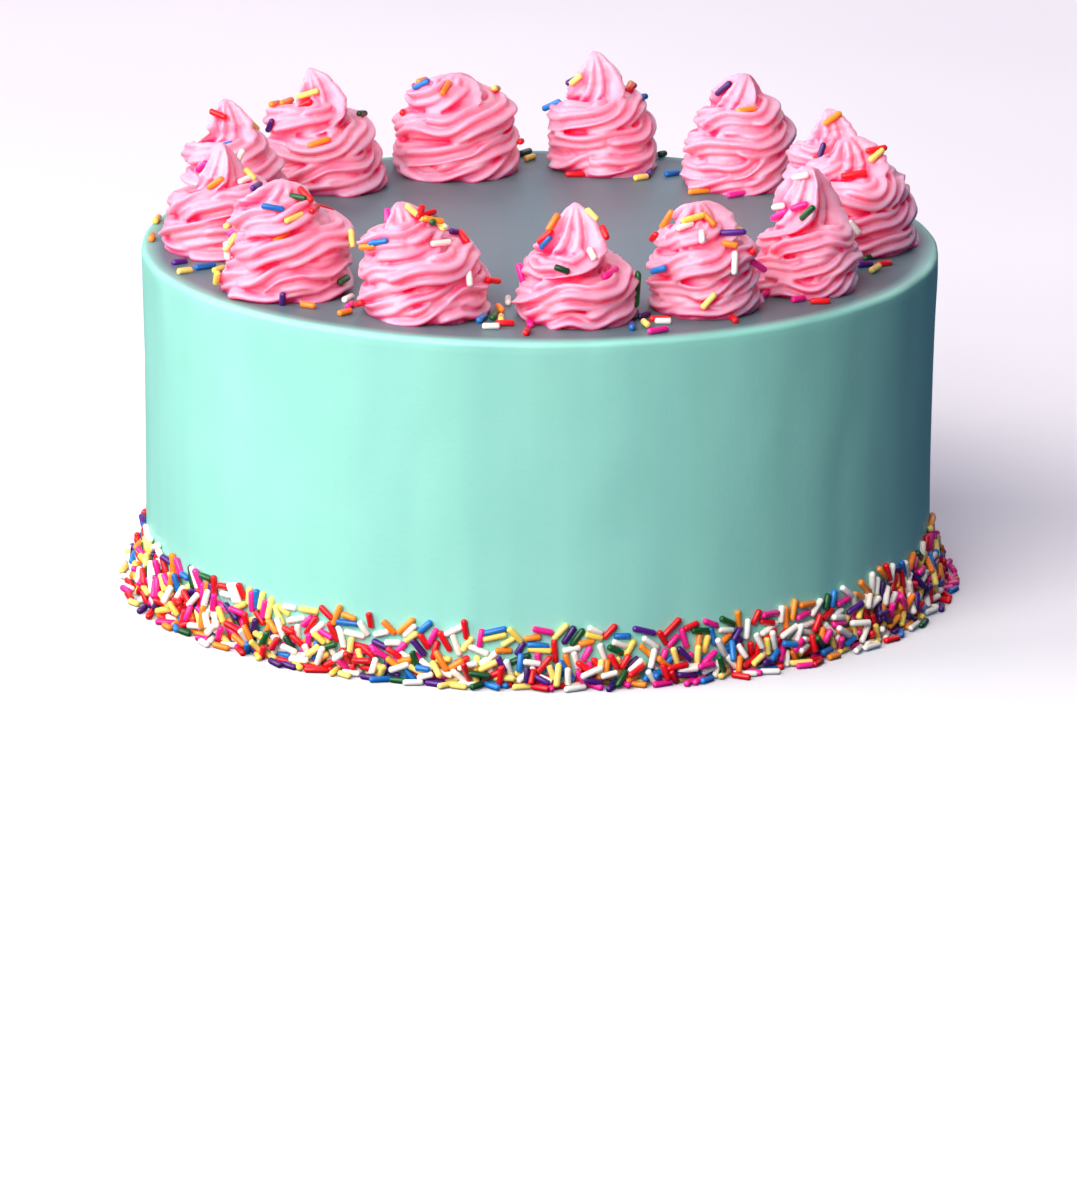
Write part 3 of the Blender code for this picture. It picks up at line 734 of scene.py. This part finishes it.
    # Hand made: nothing is quite even, and the foot lies flat on the cake
    spot = addNode(tree, "ShaderNodeVectorMath", {"operation": "ADD"}, {
        0: addNode(tree, "GeometryNodeInputPosition"), 1: terms["place"]})
    lumps = addNode(tree, "ShaderNodeTexNoise", None, {
        "Vector": spot, "Scale": 1 / swirl["lumpSize"], "Detail": 1.0})
    centred = addNode(tree, "ShaderNodeMath", {"operation": "SUBTRACT"}, {
        0: lumps.outputs["Fac"], 1: 0.5})
    push = addNode(tree, "ShaderNodeMath", {"operation": "MULTIPLY"}, {
        0: centred, 1: terms["unevenness"]})
    lumpOffset = addNode(tree, "ShaderNodeVectorMath", {"operation": "SCALE"}, {
        "Vector": addNode(tree, "GeometryNodeInputNormal"), "Scale": push})
    uneven = addNode(tree, "GeometryNodeSetPosition", None, {
        "Geometry": whole, "Offset": lumpOffset})
    footSpot = addNode(tree, "ShaderNodeSeparateXYZ", None, {
        "Vector": addNode(tree, "GeometryNodeInputPosition")})
    footRise = addNode(tree, "ShaderNodeMath", {"operation": "MAXIMUM"}, {
        0: footSpot.outputs["Z"], 1: terms["foot"]})
    footPlace = addNode(tree, "ShaderNodeCombineXYZ", None, {
        "X": footSpot.outputs["X"], "Y": footSpot.outputs["Y"], "Z": footRise})
    seated = addNode(tree, "GeometryNodeSetPosition", None, {
        "Geometry": uneven, "Position": footPlace})
    placed = addNode(tree, "GeometryNodeTransform", None, {
        "Geometry": seated, "Translation": terms["place"]})
    realized = addNode(tree, "GeometryNodeRealizeInstances", None, {"Geometry": placed})
    coated = addNode(tree, "GeometryNodeSetMaterial", None, {
        "Geometry": realized, "Material": terms["icing"]})
    addNode(tree, "NodeGroupOutput", None, {"Geometry": coated})
    return tree


def makeSwirls():
    icing = pipedButtercream()
    tree = pipedSwirlTree()
    asKind = {"FLOAT": float, "INT": int}
    shared = {label: asKind[kind](swirl[label]) for label, kind in swirlInputs if label in swirl}
    pieces = []
    for number, row in enumerate(swirlRows, start=1):
        bearing, ring, base, height, lean, finish, peak = row[:7]
        dropStart, dropShare, dropTaper, dropTurn, leftward = row[7:]
        base, height = base * mm, height * mm
        rope = swirl["ropeShare"] * base
        lowest = swirl["flatness"] * rope * swirl["lowShare"]
        climb = swirl["riseShare"] * base
        seat = cakeTop - swirl["foot"] - swirl["sink"]
        name = "pipedSwirl%02d" % number
        piece = addPiece(name, bpy.data.meshes.new(name))
        values = dict(shared)
        values.update({
            "baseRadius": base, "height": height, "lean": lean * mm,
            "endBearing": math.radians(finish),
            "bodyTurns": swirl["flatTurns"] + (height * peak - lowest) / climb,
            "ropeRadius": rope, "lowestRing": lowest, "ringRise": climb,
            "seed": swirl["seedStep"] * number, "ropeEnd": swirl["ropeEndShare"] * height,
            "dropStart": dropStart * height, "dropRadius": dropShare * base,
            "dropTaper": dropTaper, "dropTurn": dropTurn, "dropLeftward": leftward * mm,
            "place": ringPlace(bearing, ring * mm) + Vector((0.0, 0.0, seat)),
            "icing": icing,
        })
        runTree(piece, tree, values)
        weld = piece.modifiers.new("weld", "REMESH")
        weld.mode = "VOXEL"
        weld.voxel_size = swirl["voxel"]
        soften = piece.modifiers.new("soften", "SMOOTH")
        soften.factor = 0.5
        soften.iterations = swirl["softening"]
        freezeMesh(piece)
        for attribute in [a.name for a in piece.data.attributes if a.name.endswith("Here")]:
            piece.data.attributes.remove(piece.data.attributes[attribute])
        piece.data.materials.clear()
        piece.data.materials.append(icing)
        smoothShade(piece.data)
        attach(piece, "root")
        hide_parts("swirl_%02d" % number)
        pieces.append(piece)
        print("swirl", number, len(piece.data.polygons))
    return pieces


# Sprinkles: short rods of pressed sugar, each one a place, a direction and a tone

sprinkle = {
    "radius": 0.00085,
    "shortest": 0.0042,
    "longest": 0.0066,
    "modelLength": 0.0055,   # the length that is modelled once and then stretched
    "bend": 0.00045,         # how far the middle of a bent one stands out
    "bentShare": 0.22,
    "segments": 8,
    "rings": 8,
    "restOnCoat": 0.90,      # how high one lies on what carries it, in radii
    "restOnSwirl": 0.62,
    "bareMiddle": 0.064,     # how far the bare part of the top reaches
    "belowTip": 0.0035,      # none lies nearer to a swirl's tip
    "deepestTone": 0.75,
    "cellSize": 0.007,       # the grid in which neighbours are looked up
    "seed": 11,
}

bank = {
    "pressedCount": 1150,
    "heapedCount": 640,
    "floorCount": 300,
    "strayCount": 30,
    "floorTries": 12,        # draws for each one that is wanted
    "wallTries": 14,
    "strayTop": 0.0150,
    "frontHeight": 0.0118,
    "sideHeight": 0.0153,
    "heapShare": 0.60,       # how high the heap reaches up the pressed ones
    "ragged": 0.0011,        # how unevenly the pressed ones end above
    "pressedOut": 0.75,      # how far out from the wall they stand, in radii
    "layerOut": 1.75,        # and how much farther each layer of the heap does
    "heapGap": 2.7,          # how near to others a heaped one lies at least, in radii
    "crowding": 1.25,        # how much denser the bank is towards the ground
    "floorCrowding": 1.6,    # and the loose ones towards the wall
    "backDrop": 0.4,         # how much lower it lies behind, where it is out of sight
    "frontReach": 0.0046,    # how far loose ones lie from the wall at the front
    "sideReach": 0.0078,
    "outerLimit": 0.1112,
    "closeness": 1.42,       # least distance between two, in radii: some press into others
}

# Two tones of each colour, and how often it is drawn beside the others.
sugarColours = {
    "white": ("#FFFCF4", "#F5EDDE", 21),
    "yellow": ("#FFE885", "#FCD04A", 17),
    "orange": ("#FF9C2E", "#F87A18", 11),
    "red": ("#F5141F", "#CC0A18", 18),
    "pink": ("#FF2C9E", "#F01084", 16),
    "green": ("#12602A", "#073816", 7),
    "blue": ("#1F86D6", "#105CAE", 8),
    "purple": ("#5A1C8C", "#30104E", 7),
}

# Loose sprinkles on the top and on the near sides of the swirls: photograph pixels
# across and down, then the tilt up to the right in degrees, then the length in
# millimetres where it isn't a usual one.
looseSprinkles = {
    "white": (
        (228, 251, 60), (460, 215, 80), (440, 244, 0), (468, 286, -65), (593, 255, -65),
        (684, 226, 20), (702, 238, 90), (733, 264, 90), (245, 182, 10), (204, 136, 30),
        (809, 169, 0), (780, 207, 5), (856, 231, -40), (348, 301, 30), (491, 329, 0),
        (508, 300, 90), (663, 324, 0),
    ),
    "yellow": (
        (293, 217, 20), (230, 225, 45), (232, 243, 80), (348, 237, 70), (218, 277, 75),
        (410, 208, -40), (452, 220, -50), (591, 212, 90), (691, 222, 10), (708, 304, 40),
        (249, 176, -50), (307, 94, 20), (499, 87, 60), (572, 75, 40), (877, 157, 40),
        (184, 273, 10), (219, 272, 20), (501, 321, 90), (646, 327, -45), (875, 272, 30),
        (530, 160, 20), (641, 180, 10), (157, 222, 60),
    ),
    "orange": (
        (281, 236, 35), (369, 245, 0), (436, 218, -12), (549, 218, 60), (709, 221, -30),
        (732, 250, 20), (217, 184, 30), (280, 97, 30), (319, 143, 20), (446, 88, 60),
        (436, 68, 20), (630, 89, 70), (747, 111, 20), (842, 110, 30), (308, 308, -10),
        (345, 315, 15), (500, 311, -50), (152, 240, 70), (699, 194, 5),
    ),
    "red": (
        (306, 197, -35, 7.0), (314, 211, 40), (420, 211, 70), (427, 214, 10),
        (464, 238, -60, 7.0), (494, 278, -10), (545, 236, 40), (606, 230, -70),
        (651, 234, 10), (754, 254, 40), (222, 115, -45), (307, 104, 20), (637, 85, 50),
        (871, 122, -30), (876, 137, 10), (851, 175, 15, 7.0), (360, 302, 10),
        (505, 326, 0), (527, 334, 60), (660, 321, 0), (735, 322, -50), (820, 304, 0),
        (885, 266, 10), (527, 142, 30), (575, 177, 0),
    ),
    "pink": (
        (607, 276, 20), (515, 266, 50), (756, 272, 0), (203, 166, 40), (780, 214, 30),
        (802, 206, 20), (350, 308, 40), (530, 326, -75), (658, 333, 10), (798, 302, 10),
        (765, 297, 40), (736, 197, 10),
    ),
    "green": (
        (302, 201, 20), (342, 279, 35), (562, 270, -20), (453, 203, 60), (809, 214, 45),
        (641, 290, -70, 9.5), (494, 318, 60), (634, 318, 70), (525, 155, 20),
        (662, 155, 30), (870, 260, 20), (365, 112, 50),
    ),
    "blue": (
        (273, 208, -10), (379, 241, 10), (545, 241, 50), (659, 268, 20), (222, 141, 30),
        (433, 75, 20), (646, 95, 30), (205, 269, 10), (482, 321, 40), (632, 329, 90),
        (672, 176, 10),
    ),
    "purple": (
        (282, 300, 80), (463, 227, 30), (733, 234, 0, 7.0), (256, 188, 40), (272, 126, 60),
        (564, 75, 30), (724, 88, 40), (820, 156, 70, 7.5), (180, 264, 10), (644, 318, 20),
        (865, 267, 10), (649, 176, 60),
    ),
}


def pressedSugar(name, colour, deeper):
    # Pressed sugar rods in a thin food glaze: even colour with a soft shine, no two
    # quite the same tone, slightly chalky where the glaze has worn.
    material, tree, shader = newMaterial(name, {
        "Roughness": 0.34, "Subsurface Weight": 0.05, "Subsurface Scale": 0.6 * mm})
    place = addNode(tree, "ShaderNodeTexCoord").outputs["Object"]
    tone = addNode(tree, "ShaderNodeAttribute", {"attribute_name": "tone"}).outputs["Fac"]
    speckSize = 0.9 * mm
    specks = addNode(tree, "ShaderNodeTexNoise", None, {
        "Vector": place, "Scale": 1 / speckSize, "Detail": 2.0})
    mixed = addNode(tree, "ShaderNodeMath", {"operation": "MULTIPLY_ADD"}, {
        0: specks.outputs["Fac"], 1: 0.25, 2: tone})
    tint = addNode(tree, "ShaderNodeMix", {"data_type": "RGBA"}, {
        0: mixed, 6: srgb(colour), 7: srgb(deeper)})
    tree.links.new(tint.outputs[2], shader.inputs["Base Color"])
    bump = addNode(tree, "ShaderNodeBump", None, {
        "Strength": 0.3, "Distance": 0.00006, "Height": specks.outputs["Fac"]})
    tree.links.new(bump.outputs[0], shader.inputs["Normal"])
    return material


# A rod from a unit ball: its halves are drawn apart and its ends made blunt, as the
# ring beside the middle one is widened by 1.083 to be as wide as that one.
rodRule = (
    ("end", "SIGN", "z", 0.0),
    ("half", "MULTIPLY", "rodLength", 0.5),
    ("shoulder", "SUBTRACT", "half", "radius"),
    ("shift", "MULTIPLY", "end", "shoulder"),
    ("cap", "MULTIPLY", "z", "radius"),
    ("rodZ", "ADD", "cap", "shift"),
    ("xSquare", "MULTIPLY", "x", "x"),
    ("ySquare", "MULTIPLY", "y", "y"),
    ("squares", "ADD", "xSquare", "ySquare"),
    ("girth", "SQRT", "squares", 0.0),
    ("girthSafe", "MAXIMUM", "girth", 0.001),
    ("fill", "DIVIDE", 1.0, "girthSafe"),
    ("widen", "MINIMUM", "fill", 1.083),
    ("width", "MULTIPLY", "widen", "radius"),
    ("rodX", "MULTIPLY", "x", "width"),
    ("rodY", "MULTIPLY", "y", "width"),
    ("along", "DIVIDE", "rodZ", "half"),
    ("alongSquare", "MULTIPLY", "along", "along"),
    ("arch", "MULTIPLY", "alongSquare", "bend"),
    ("bentX", "SUBTRACT", "rodX", "arch"),
)


def sprinkleTree():
    # Short rods with blunt ends on every point, some straight and some slightly bent.
    tree, terms = newTree("pressedSprinkles", (
        ("radius", "FLOAT"), ("rodLength", "FLOAT"), ("bend", "FLOAT"),
        ("segments", "INT"), ("rings", "INT"), ("sugar", "MATERIAL")))
    ball = addNode(tree, "GeometryNodeMeshUVSphere", None, {
        "Segments": terms["segments"], "Rings": terms["rings"], "Radius": 1.0})
    spot = addNode(tree, "ShaderNodeSeparateXYZ", None, {
        "Vector": addNode(tree, "GeometryNodeInputPosition")})
    terms.update({"x": spot.outputs["X"], "y": spot.outputs["Y"], "z": spot.outputs["Z"]})
    followRule(tree, rodRule, terms)
    rods = None
    for side in ("bentX", "rodX"):
        shape = addNode(tree, "ShaderNodeCombineXYZ", None, {
            "X": terms[side], "Y": terms["rodY"], "Z": terms["rodZ"]})
        rod = addNode(tree, "GeometryNodeSetPosition", None, {
            "Geometry": ball, "Position": shape})
        model = addNode(tree, "GeometryNodeGeometryToInstance", None, {"Geometry": rod})
        if rods is None:
            rods = addNode(tree, "GeometryNodeJoinGeometry", None, {"Geometry": model})
        else:
            tree.links.new(model.outputs[0], rods.inputs[0])
    points = addNode(tree, "GeometryNodeMeshToPoints", None, {"Mesh": terms["Geometry"]})
    turn = addNode(tree, "FunctionNodeAxesToRotation", {
        "primary_axis": "Z", "secondary_axis": "X"}, {
        "Primary Axis": readValue(tree, "along", "FLOAT_VECTOR"),
        "Secondary Axis": readValue(tree, "beside", "FLOAT_VECTOR")})
    laid = addNode(tree, "GeometryNodeInstanceOnPoints", None, {
        "Points": points, "Instance": rods, "Pick Instance": True,
        "Instance Index": readValue(tree, "kind", "INT"), "Rotation": turn,
        "Scale": readValue(tree, "stretch", "FLOAT_VECTOR")})
    realized = addNode(tree, "GeometryNodeRealizeInstances", None, {"Geometry": laid})
    smooth = addNode(tree, "GeometryNodeSetShadeSmooth", None, {"Geometry": realized})
    coated = addNode(tree, "GeometryNodeSetMaterial", None, {
        "Geometry": smooth, "Material": terms["sugar"]})
    addNode(tree, "NodeGroupOutput", None, {"Geometry": coated})
    return tree


class SprinkleBox:
    # Every sprinkle laid so far, kept by place so that none is laid inside another.
    def __init__(self):
        self.rods = []
        self.cells = {}

    def cell(self, spot):
        return tuple(int(math.floor(value / sprinkle["cellSize"])) for value in spot)

    def near(self, spot):
        home = self.cell(spot)
        for dx in (-1, 0, 1):
            for dy in (-1, 0, 1):
                for dz in (-1, 0, 1):
                    yield from self.cells.get((home[0] + dx, home[1] + dy, home[2] + dz), ())

    def gap(self, middle, along, half):
        # The least distance from this rod's middle line to any other's.
        least = 1.0
        for other in self.near(middle):
            least = min(least, rodDistance(middle, along, half, *other[:3]))
        return least

    def add(self, middle, along, length, colour, on):
        rod = (middle, along, length / 2 - sprinkle["radius"], length, colour, on)
        self.rods.append(rod)
        self.cells.setdefault(self.cell(middle), []).append(rod)


def rodDistance(middleA, alongA, halfA, middleB, alongB, halfB):
    # How far apart two straight middle lines are.
    between = middleA - middleB
    share = alongA.dot(alongB)
    onA, onB = alongA.dot(between), alongB.dot(between)
    spread = 1.0 - share * share
    stepA = 0.0 if spread < 1e-6 else (share * onB - onA) / spread
    stepA = max(-halfA, min(halfA, stepA))
    stepB = max(-halfB, min(halfB, onB + share * stepA))
    stepA = max(-halfA, min(halfA, share * stepB - onA))
    return (between + alongA * stepA - alongB * stepB).length


def anyLength(draw):
    return draw.uniform(sprinkle["shortest"], sprinkle["longest"])


def anyColour(draw):
    names = list(sugarColours)
    return draw.choices(names, [sugarColours[name][2] for name in names])[0]


def wallRadius(height):
    return coat["radius"] + coat["lipOut"] * (height / cakeTop) ** 2


def sideShare(turn):
    # 0 at the front of the cake, 1 from the sides round to the back.
    offFront = abs((turn + math.pi / 2 + math.pi) % (2 * math.pi) - math.pi)
    return max(0.0, min(1.0, (offFront - 0.30) / 0.7))


def backShare(turn):
    # 0 on the half that the photograph shows, 1 a little past the sides.
    offFront = abs((turn + math.pi / 2 + math.pi) % (2 * math.pi) - math.pi)
    return max(0.0, min(1.0, (offFront - 1.5) / 0.25))


def layBank(box, draw):
    radius = sprinkle["radius"]
    touch = bank["closeness"] * radius
    # Loose ones that fell on the ground round the foot
    for number in range(bank["floorCount"] * bank["floorTries"]):
        if len(box.rods) >= bank["floorCount"]:
            break
        turn = draw.uniform(-math.pi, math.pi)
        wide = sideShare(turn)
        reach = bank["frontReach"] + (bank["sideReach"] - bank["frontReach"]) * wide
        length = anyLength(draw)
        out = radius + (reach - radius) * draw.random() ** bank["floorCrowding"]
        outward = Vector((math.cos(turn), math.sin(turn), 0.0))
        middle = outward * (wallRadius(0.0) + out) + Vector((0.0, 0.0, radius * 0.98))
        lean = draw.gauss(0.0, 0.7) + turn + math.pi / 2
        along = Vector((math.cos(lean), math.sin(lean), 0.0))
        half = length / 2 - radius
        ends = [(middle + along * half * sign).xy.length for sign in (-1, 1)]
        if min(ends) < wallRadius(0.0) + radius * 0.8 or max(ends) + radius > bank["outerLimit"]:
            continue
        if box.gap(middle, along, half) > touch:
            box.add(middle, along, length, anyColour(draw), "cake")
    print("on the ground", len(box.rods))
    # Those pressed on the wall, the heap in front of them, and a few strays above
    heaped = bank["heapedCount"]
    for layer, wanted in enumerate((bank["pressedCount"], heaped, heaped // 3)):
        placed = 0
        for number in range(wanted * bank["wallTries"]):
            if placed >= wanted:
                break
            turn = draw.uniform(-math.pi, math.pi)
            wide = sideShare(turn)
            high = bank["frontHeight"] + (bank["sideHeight"] - bank["frontHeight"]) * wide
            high *= 1 - bank["backDrop"] * backShare(turn)
            if layer:
                high *= (bank["heapShare"] + 0.15 * wide) / layer ** 0.6
            share = draw.random()
            height = radius * 1.1 + (high - radius) * share ** bank["crowding"]
            if layer == 0:
                height += max(0.0, draw.gauss(0.0, bank["ragged"]))
            length = anyLength(draw)
            half = length / 2 - radius
            outward = Vector((math.cos(turn), math.sin(turn), 0.0))
            sideways = Vector((-math.sin(turn), math.cos(turn), 0.0))
            out = radius * (bank["pressedOut"] + bank["layerOut"] * layer)
            reach = wallRadius(height) + out
            lean = draw.uniform(-math.pi / 2, math.pi / 2)
            tip = draw.gauss(0.0, 0.10 + 0.16 * layer)
            along = (sideways * math.cos(lean) + Vector((0.0, 0.0, 1.0)) * math.sin(lean)
                     + outward * tip).normalized()
            low = height - abs(along.z) * half
            if low < radius:
                height += radius - low
            middle = outward * reach + Vector((0.0, 0.0, height))
            if reach + abs(outward.dot(along)) * half + radius > bank["outerLimit"]:
                continue
            gap = box.gap(middle, along, half)
            if gap < touch or (layer and gap > bank["heapGap"] * radius):
                continue
            box.add(middle, along, length, anyColour(draw), "cake")
            placed += 1
        print("bank layer", layer, placed)
    placed = 0
    while placed < bank["strayCount"]:
        turn = draw.uniform(-math.pi, math.pi)
        height = draw.uniform(bank["frontHeight"], bank["strayTop"]) * (1 - 0.5 * backShare(turn))
        length = anyLength(draw)
        lean = draw.uniform(-math.pi / 2, math.pi / 2)
        sideways = Vector((-math.sin(turn), math.cos(turn), 0.0))
        along = (sideways * math.cos(lean) + Vector((0.0, 0.0, math.sin(lean)))).normalized()
        outward = Vector((math.cos(turn), math.sin(turn), 0.0))
        middle = outward * (wallRadius(height) + radius * 0.7) + Vector((0.0, 0.0, height))
        if box.gap(middle, along, length / 2 - radius) > touch:
            box.add(middle, along, length, anyColour(draw), "cake")
            placed += 1


def sightLine(across, down):
    # The line of sight through a pixel of the photograph.
    place, right, upright, look = cameraAxes()
    focal = photoCamera["lens"] / photoCamera["sensor"] * photoCamera["frameHigh"]
    aside = (across - photoCamera["frameWide"] / 2) / focal
    above = (photoCamera["frameHigh"] / 2 - down) / focal
    return place, (look + right * aside + upright * above).normalized()


def groundUnder(tree, spot, normal, along, half):
    # How high the surface stands under the two ends and the middle of a rod.
    above = 0.004
    rises = []
    for share in (-0.8, 0.0, 0.8):
        outside = spot + along * half * share + normal * above
        found = tree.ray_cast(outside, -normal, above + 0.0022)
        rises.append(above - found[3] if found[0] is not None else None)
    return rises


def restOn(tree, spot, normal, along, length, rest):
    # Lays a rod on the highest that its two ends and its middle find under them.
    half = length / 2 - sprinkle["radius"]
    rises = groundUnder(tree, spot, normal, along, half)
    if rises[0] is None and rises[2] is None:
        # Too narrow to lie across, so it lies down the slope
        sideways = normal.cross(Vector((0.0, 0.0, 1.0)))
        along = normal.cross(sideways).normalized()
        spot = spot + along * half * 0.8
        rises = groundUnder(tree, spot, normal, along, half)
    middleRise = rises[1] or 0.0
    low, high = [middleRise if rise is None else rise for rise in (rises[0], rises[2])]
    slope = max(-0.7, min(0.7, (high - low) / (1.6 * half)))
    lift = max(middleRise, (low + high) / 2)
    turned = (along + normal * slope).normalized()
    return spot + normal * (lift + rest * sprinkle["radius"]), turned


def firstHit(across, down, trees):
    # What a pixel of the photograph shows: distance, node, place and normal.
    place, sight = sightLine(across, down)
    hits = []
    for name, tree in trees.items():
        spot, normal, index, distance = tree.ray_cast(place, sight)
        if spot is not None:
            hits.append((distance, name, spot, normal))
    return min(hits, key=lambda hit: hit[0]) if hits else None


def nearestHit(across, down, trees):
    # The middle of the top is bare, so one that lands there belongs on the swirl beside it.
    # None lies across the tip of a swirl either.
    clear = sprinkle["bareMiddle"]
    tips = {"swirl_%02d" % number: cakeTop + row[3] * mm - sprinkle["belowTip"]
            for number, row in enumerate(swirlRows, start=1)}
    for step in range(14):
        for aside, below in ((0, 1), (-1, 1), (1, 1), (-1, 0), (1, 0)):
            hit = firstHit(across + 1.6 * step * aside, down + 1.6 * step * below, trees)
            if hit is None or hit[1] == "cake" and hit[2].xy.length < clear:
                continue
            if hit[2].z < tips.get(hit[1], 1.0):
                return hit
    return None


def layLoose(box, trees):
    # The ones that the photograph shows on the top and on the swirls.
    draw = random.Random(sprinkle["seed"] + 1)
    eye, right, upright, look = cameraAxes()
    missed = 0
    for colour, spots in looseSprinkles.items():
        for across, down, tilt, *size in spots:
            length = size[0] * mm if size else anyLength(draw)
            hit = nearestHit(across, down, trees)
            if hit is None:
                missed += 1
                continue
            distance, name, spot, normal = hit
            if name == "cake":
                normal = Vector((0.0, 0.0, 1.0))
            shown = right * math.cos(math.radians(tilt)) + upright * math.sin(math.radians(tilt))
            facing = look.dot(normal)
            if abs(facing) > 0.2:
                shown = shown - look * (shown.dot(normal) / facing)
            along = (shown - normal * shown.dot(normal)).normalized()
            rest = sprinkle["restOnCoat" if name == "cake" else "restOnSwirl"]
            middle, along = restOn(trees[name], spot, normal, along, length, rest)
            box.add(middle, along, length, colour, name)
    print("sprinkles with the loose ones", len(box.rods), "missed", missed)


def layUnseen(box, trees, draw):
    # More of them on the sides that the photograph doesn't show.
    radius = sprinkle["radius"]
    eye = cameraAxes()[0]
    for number, row in enumerate(swirlRows, start=1):
        name = "swirl_%02d" % number
        middleOfSwirl = ringPlace(row[0], row[1] * mm)
        wanted = draw.choice((3, 4, 5))
        tries = 0
        while wanted and tries < 80:
            tries += 1
            turn = draw.uniform(0, 2 * math.pi)
            height = cakeTop + row[3] * mm * draw.uniform(0.30, 0.85)
            away = Vector((math.cos(turn), math.sin(turn), 0.0)) * 0.03
            outside = middleOfSwirl + away + Vector((0.0, 0.0, height + 0.008))
            aim = Vector((middleOfSwirl.x, middleOfSwirl.y, height - 0.004)) - outside
            spot, normal, index, distance = trees[name].ray_cast(outside, aim.normalized())
            if spot is None or normal.z < 0.0 or normal.dot((eye - spot).normalized()) > -0.05:
                continue
            sideways = normal.cross(Vector((0.0, 0.0, 1.0))).normalized()
            lean = draw.uniform(0.0, math.pi)
            along = sideways * math.cos(lean) + normal.cross(sideways) * math.sin(lean)
            length = anyLength(draw)
            rest = sprinkle["restOnSwirl"]
            middle, along = restOn(trees[name], spot, normal, along, length, rest)
            if box.gap(middle, along, length / 2 - radius) > 2.2 * radius:
                box.add(middle, along, length, anyColour(draw), name)
                wanted -= 1


def besideFor(rod, draw):
    # A direction square to the rod, any one, so that bent ones point every way. On the
    # ground the ends of a bent one point up.
    turn = draw.uniform(0, 2 * math.pi)
    middle, along = rod[:2]
    first = along.orthogonal().normalized()
    beside = first * math.cos(turn) + along.cross(first) * math.sin(turn)
    if middle.z < 0.003 and beside.z > 0.0:
        beside = -beside
    return tuple(beside)


def makeSprinkles(trees):
    box = SprinkleBox()
    draw = random.Random(sprinkle["seed"])
    layBank(box, draw)
    layLoose(box, trees)
    layUnseen(box, trees, draw)
    tree = sprinkleTree()
    for colour, (plain, deep, share) in sugarColours.items():
        rods = [rod for rod in box.rods if rod[4] == colour]
        name = colour + "Sprinkles"
        mesh = bpy.data.meshes.new(name)
        mesh.from_pydata([tuple(rod[0]) for rod in rods], [], [])
        beside = [value for rod in rods for value in besideFor(rod, draw)]
        longer = [rod[3] / sprinkle["modelLength"] for rod in rods]
        columns = {
            "along": ("FLOAT_VECTOR", "vector", [value for rod in rods for value in rod[1]]),
            "beside": ("FLOAT_VECTOR", "vector", beside),
            "stretch": ("FLOAT_VECTOR", "vector", [
                value for times in longer for value in (1.0, 1.0, times)]),
            "kind": ("INT", "value", [
                int(draw.random() < sprinkle["bentShare"]) for rod in rods]),
            "tone": ("FLOAT", "value", [
                draw.uniform(0.0, sprinkle["deepestTone"]) for rod in rods]),
        }
        for label, (kind, field, values) in columns.items():
            mesh.attributes.new(label, kind, "POINT").data.foreach_set(field, values)
        piece = addPiece(name, mesh)
        runTree(piece, tree, {
            "radius": sprinkle["radius"], "rodLength": sprinkle["modelLength"],
            "bend": sprinkle["bend"], "segments": sprinkle["segments"],
            "rings": sprinkle["rings"],
            "sugar": pressedSugar(colour + "PressedSugar", plain, deep)})
        freezeMesh(piece)
        for label in ("along", "beside", "stretch", "kind"):
            if label in piece.data.attributes:
                piece.data.attributes.remove(piece.data.attributes[label])
        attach(piece, "root")
        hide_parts(*sorted({rod[5] for rod in rods}))
        print(name, len(rods), len(piece.data.polygons))


def surfaceTree(piece):
    return BVHTree.FromPolygons([point.co for point in piece.data.vertices],
                                [tuple(face.vertices) for face in piece.data.polygons])


makeCamera()
makeStudio()
coatPiece = makeCoat()
swirlPieces = makeSwirls()
surfaces = {"cake": surfaceTree(coatPiece)}
for swirlNumber, swirlPiece in enumerate(swirlPieces, start=1):
    surfaces["swirl_%02d" % swirlNumber] = surfaceTree(swirlPiece)
makeSprinkles(surfaces)
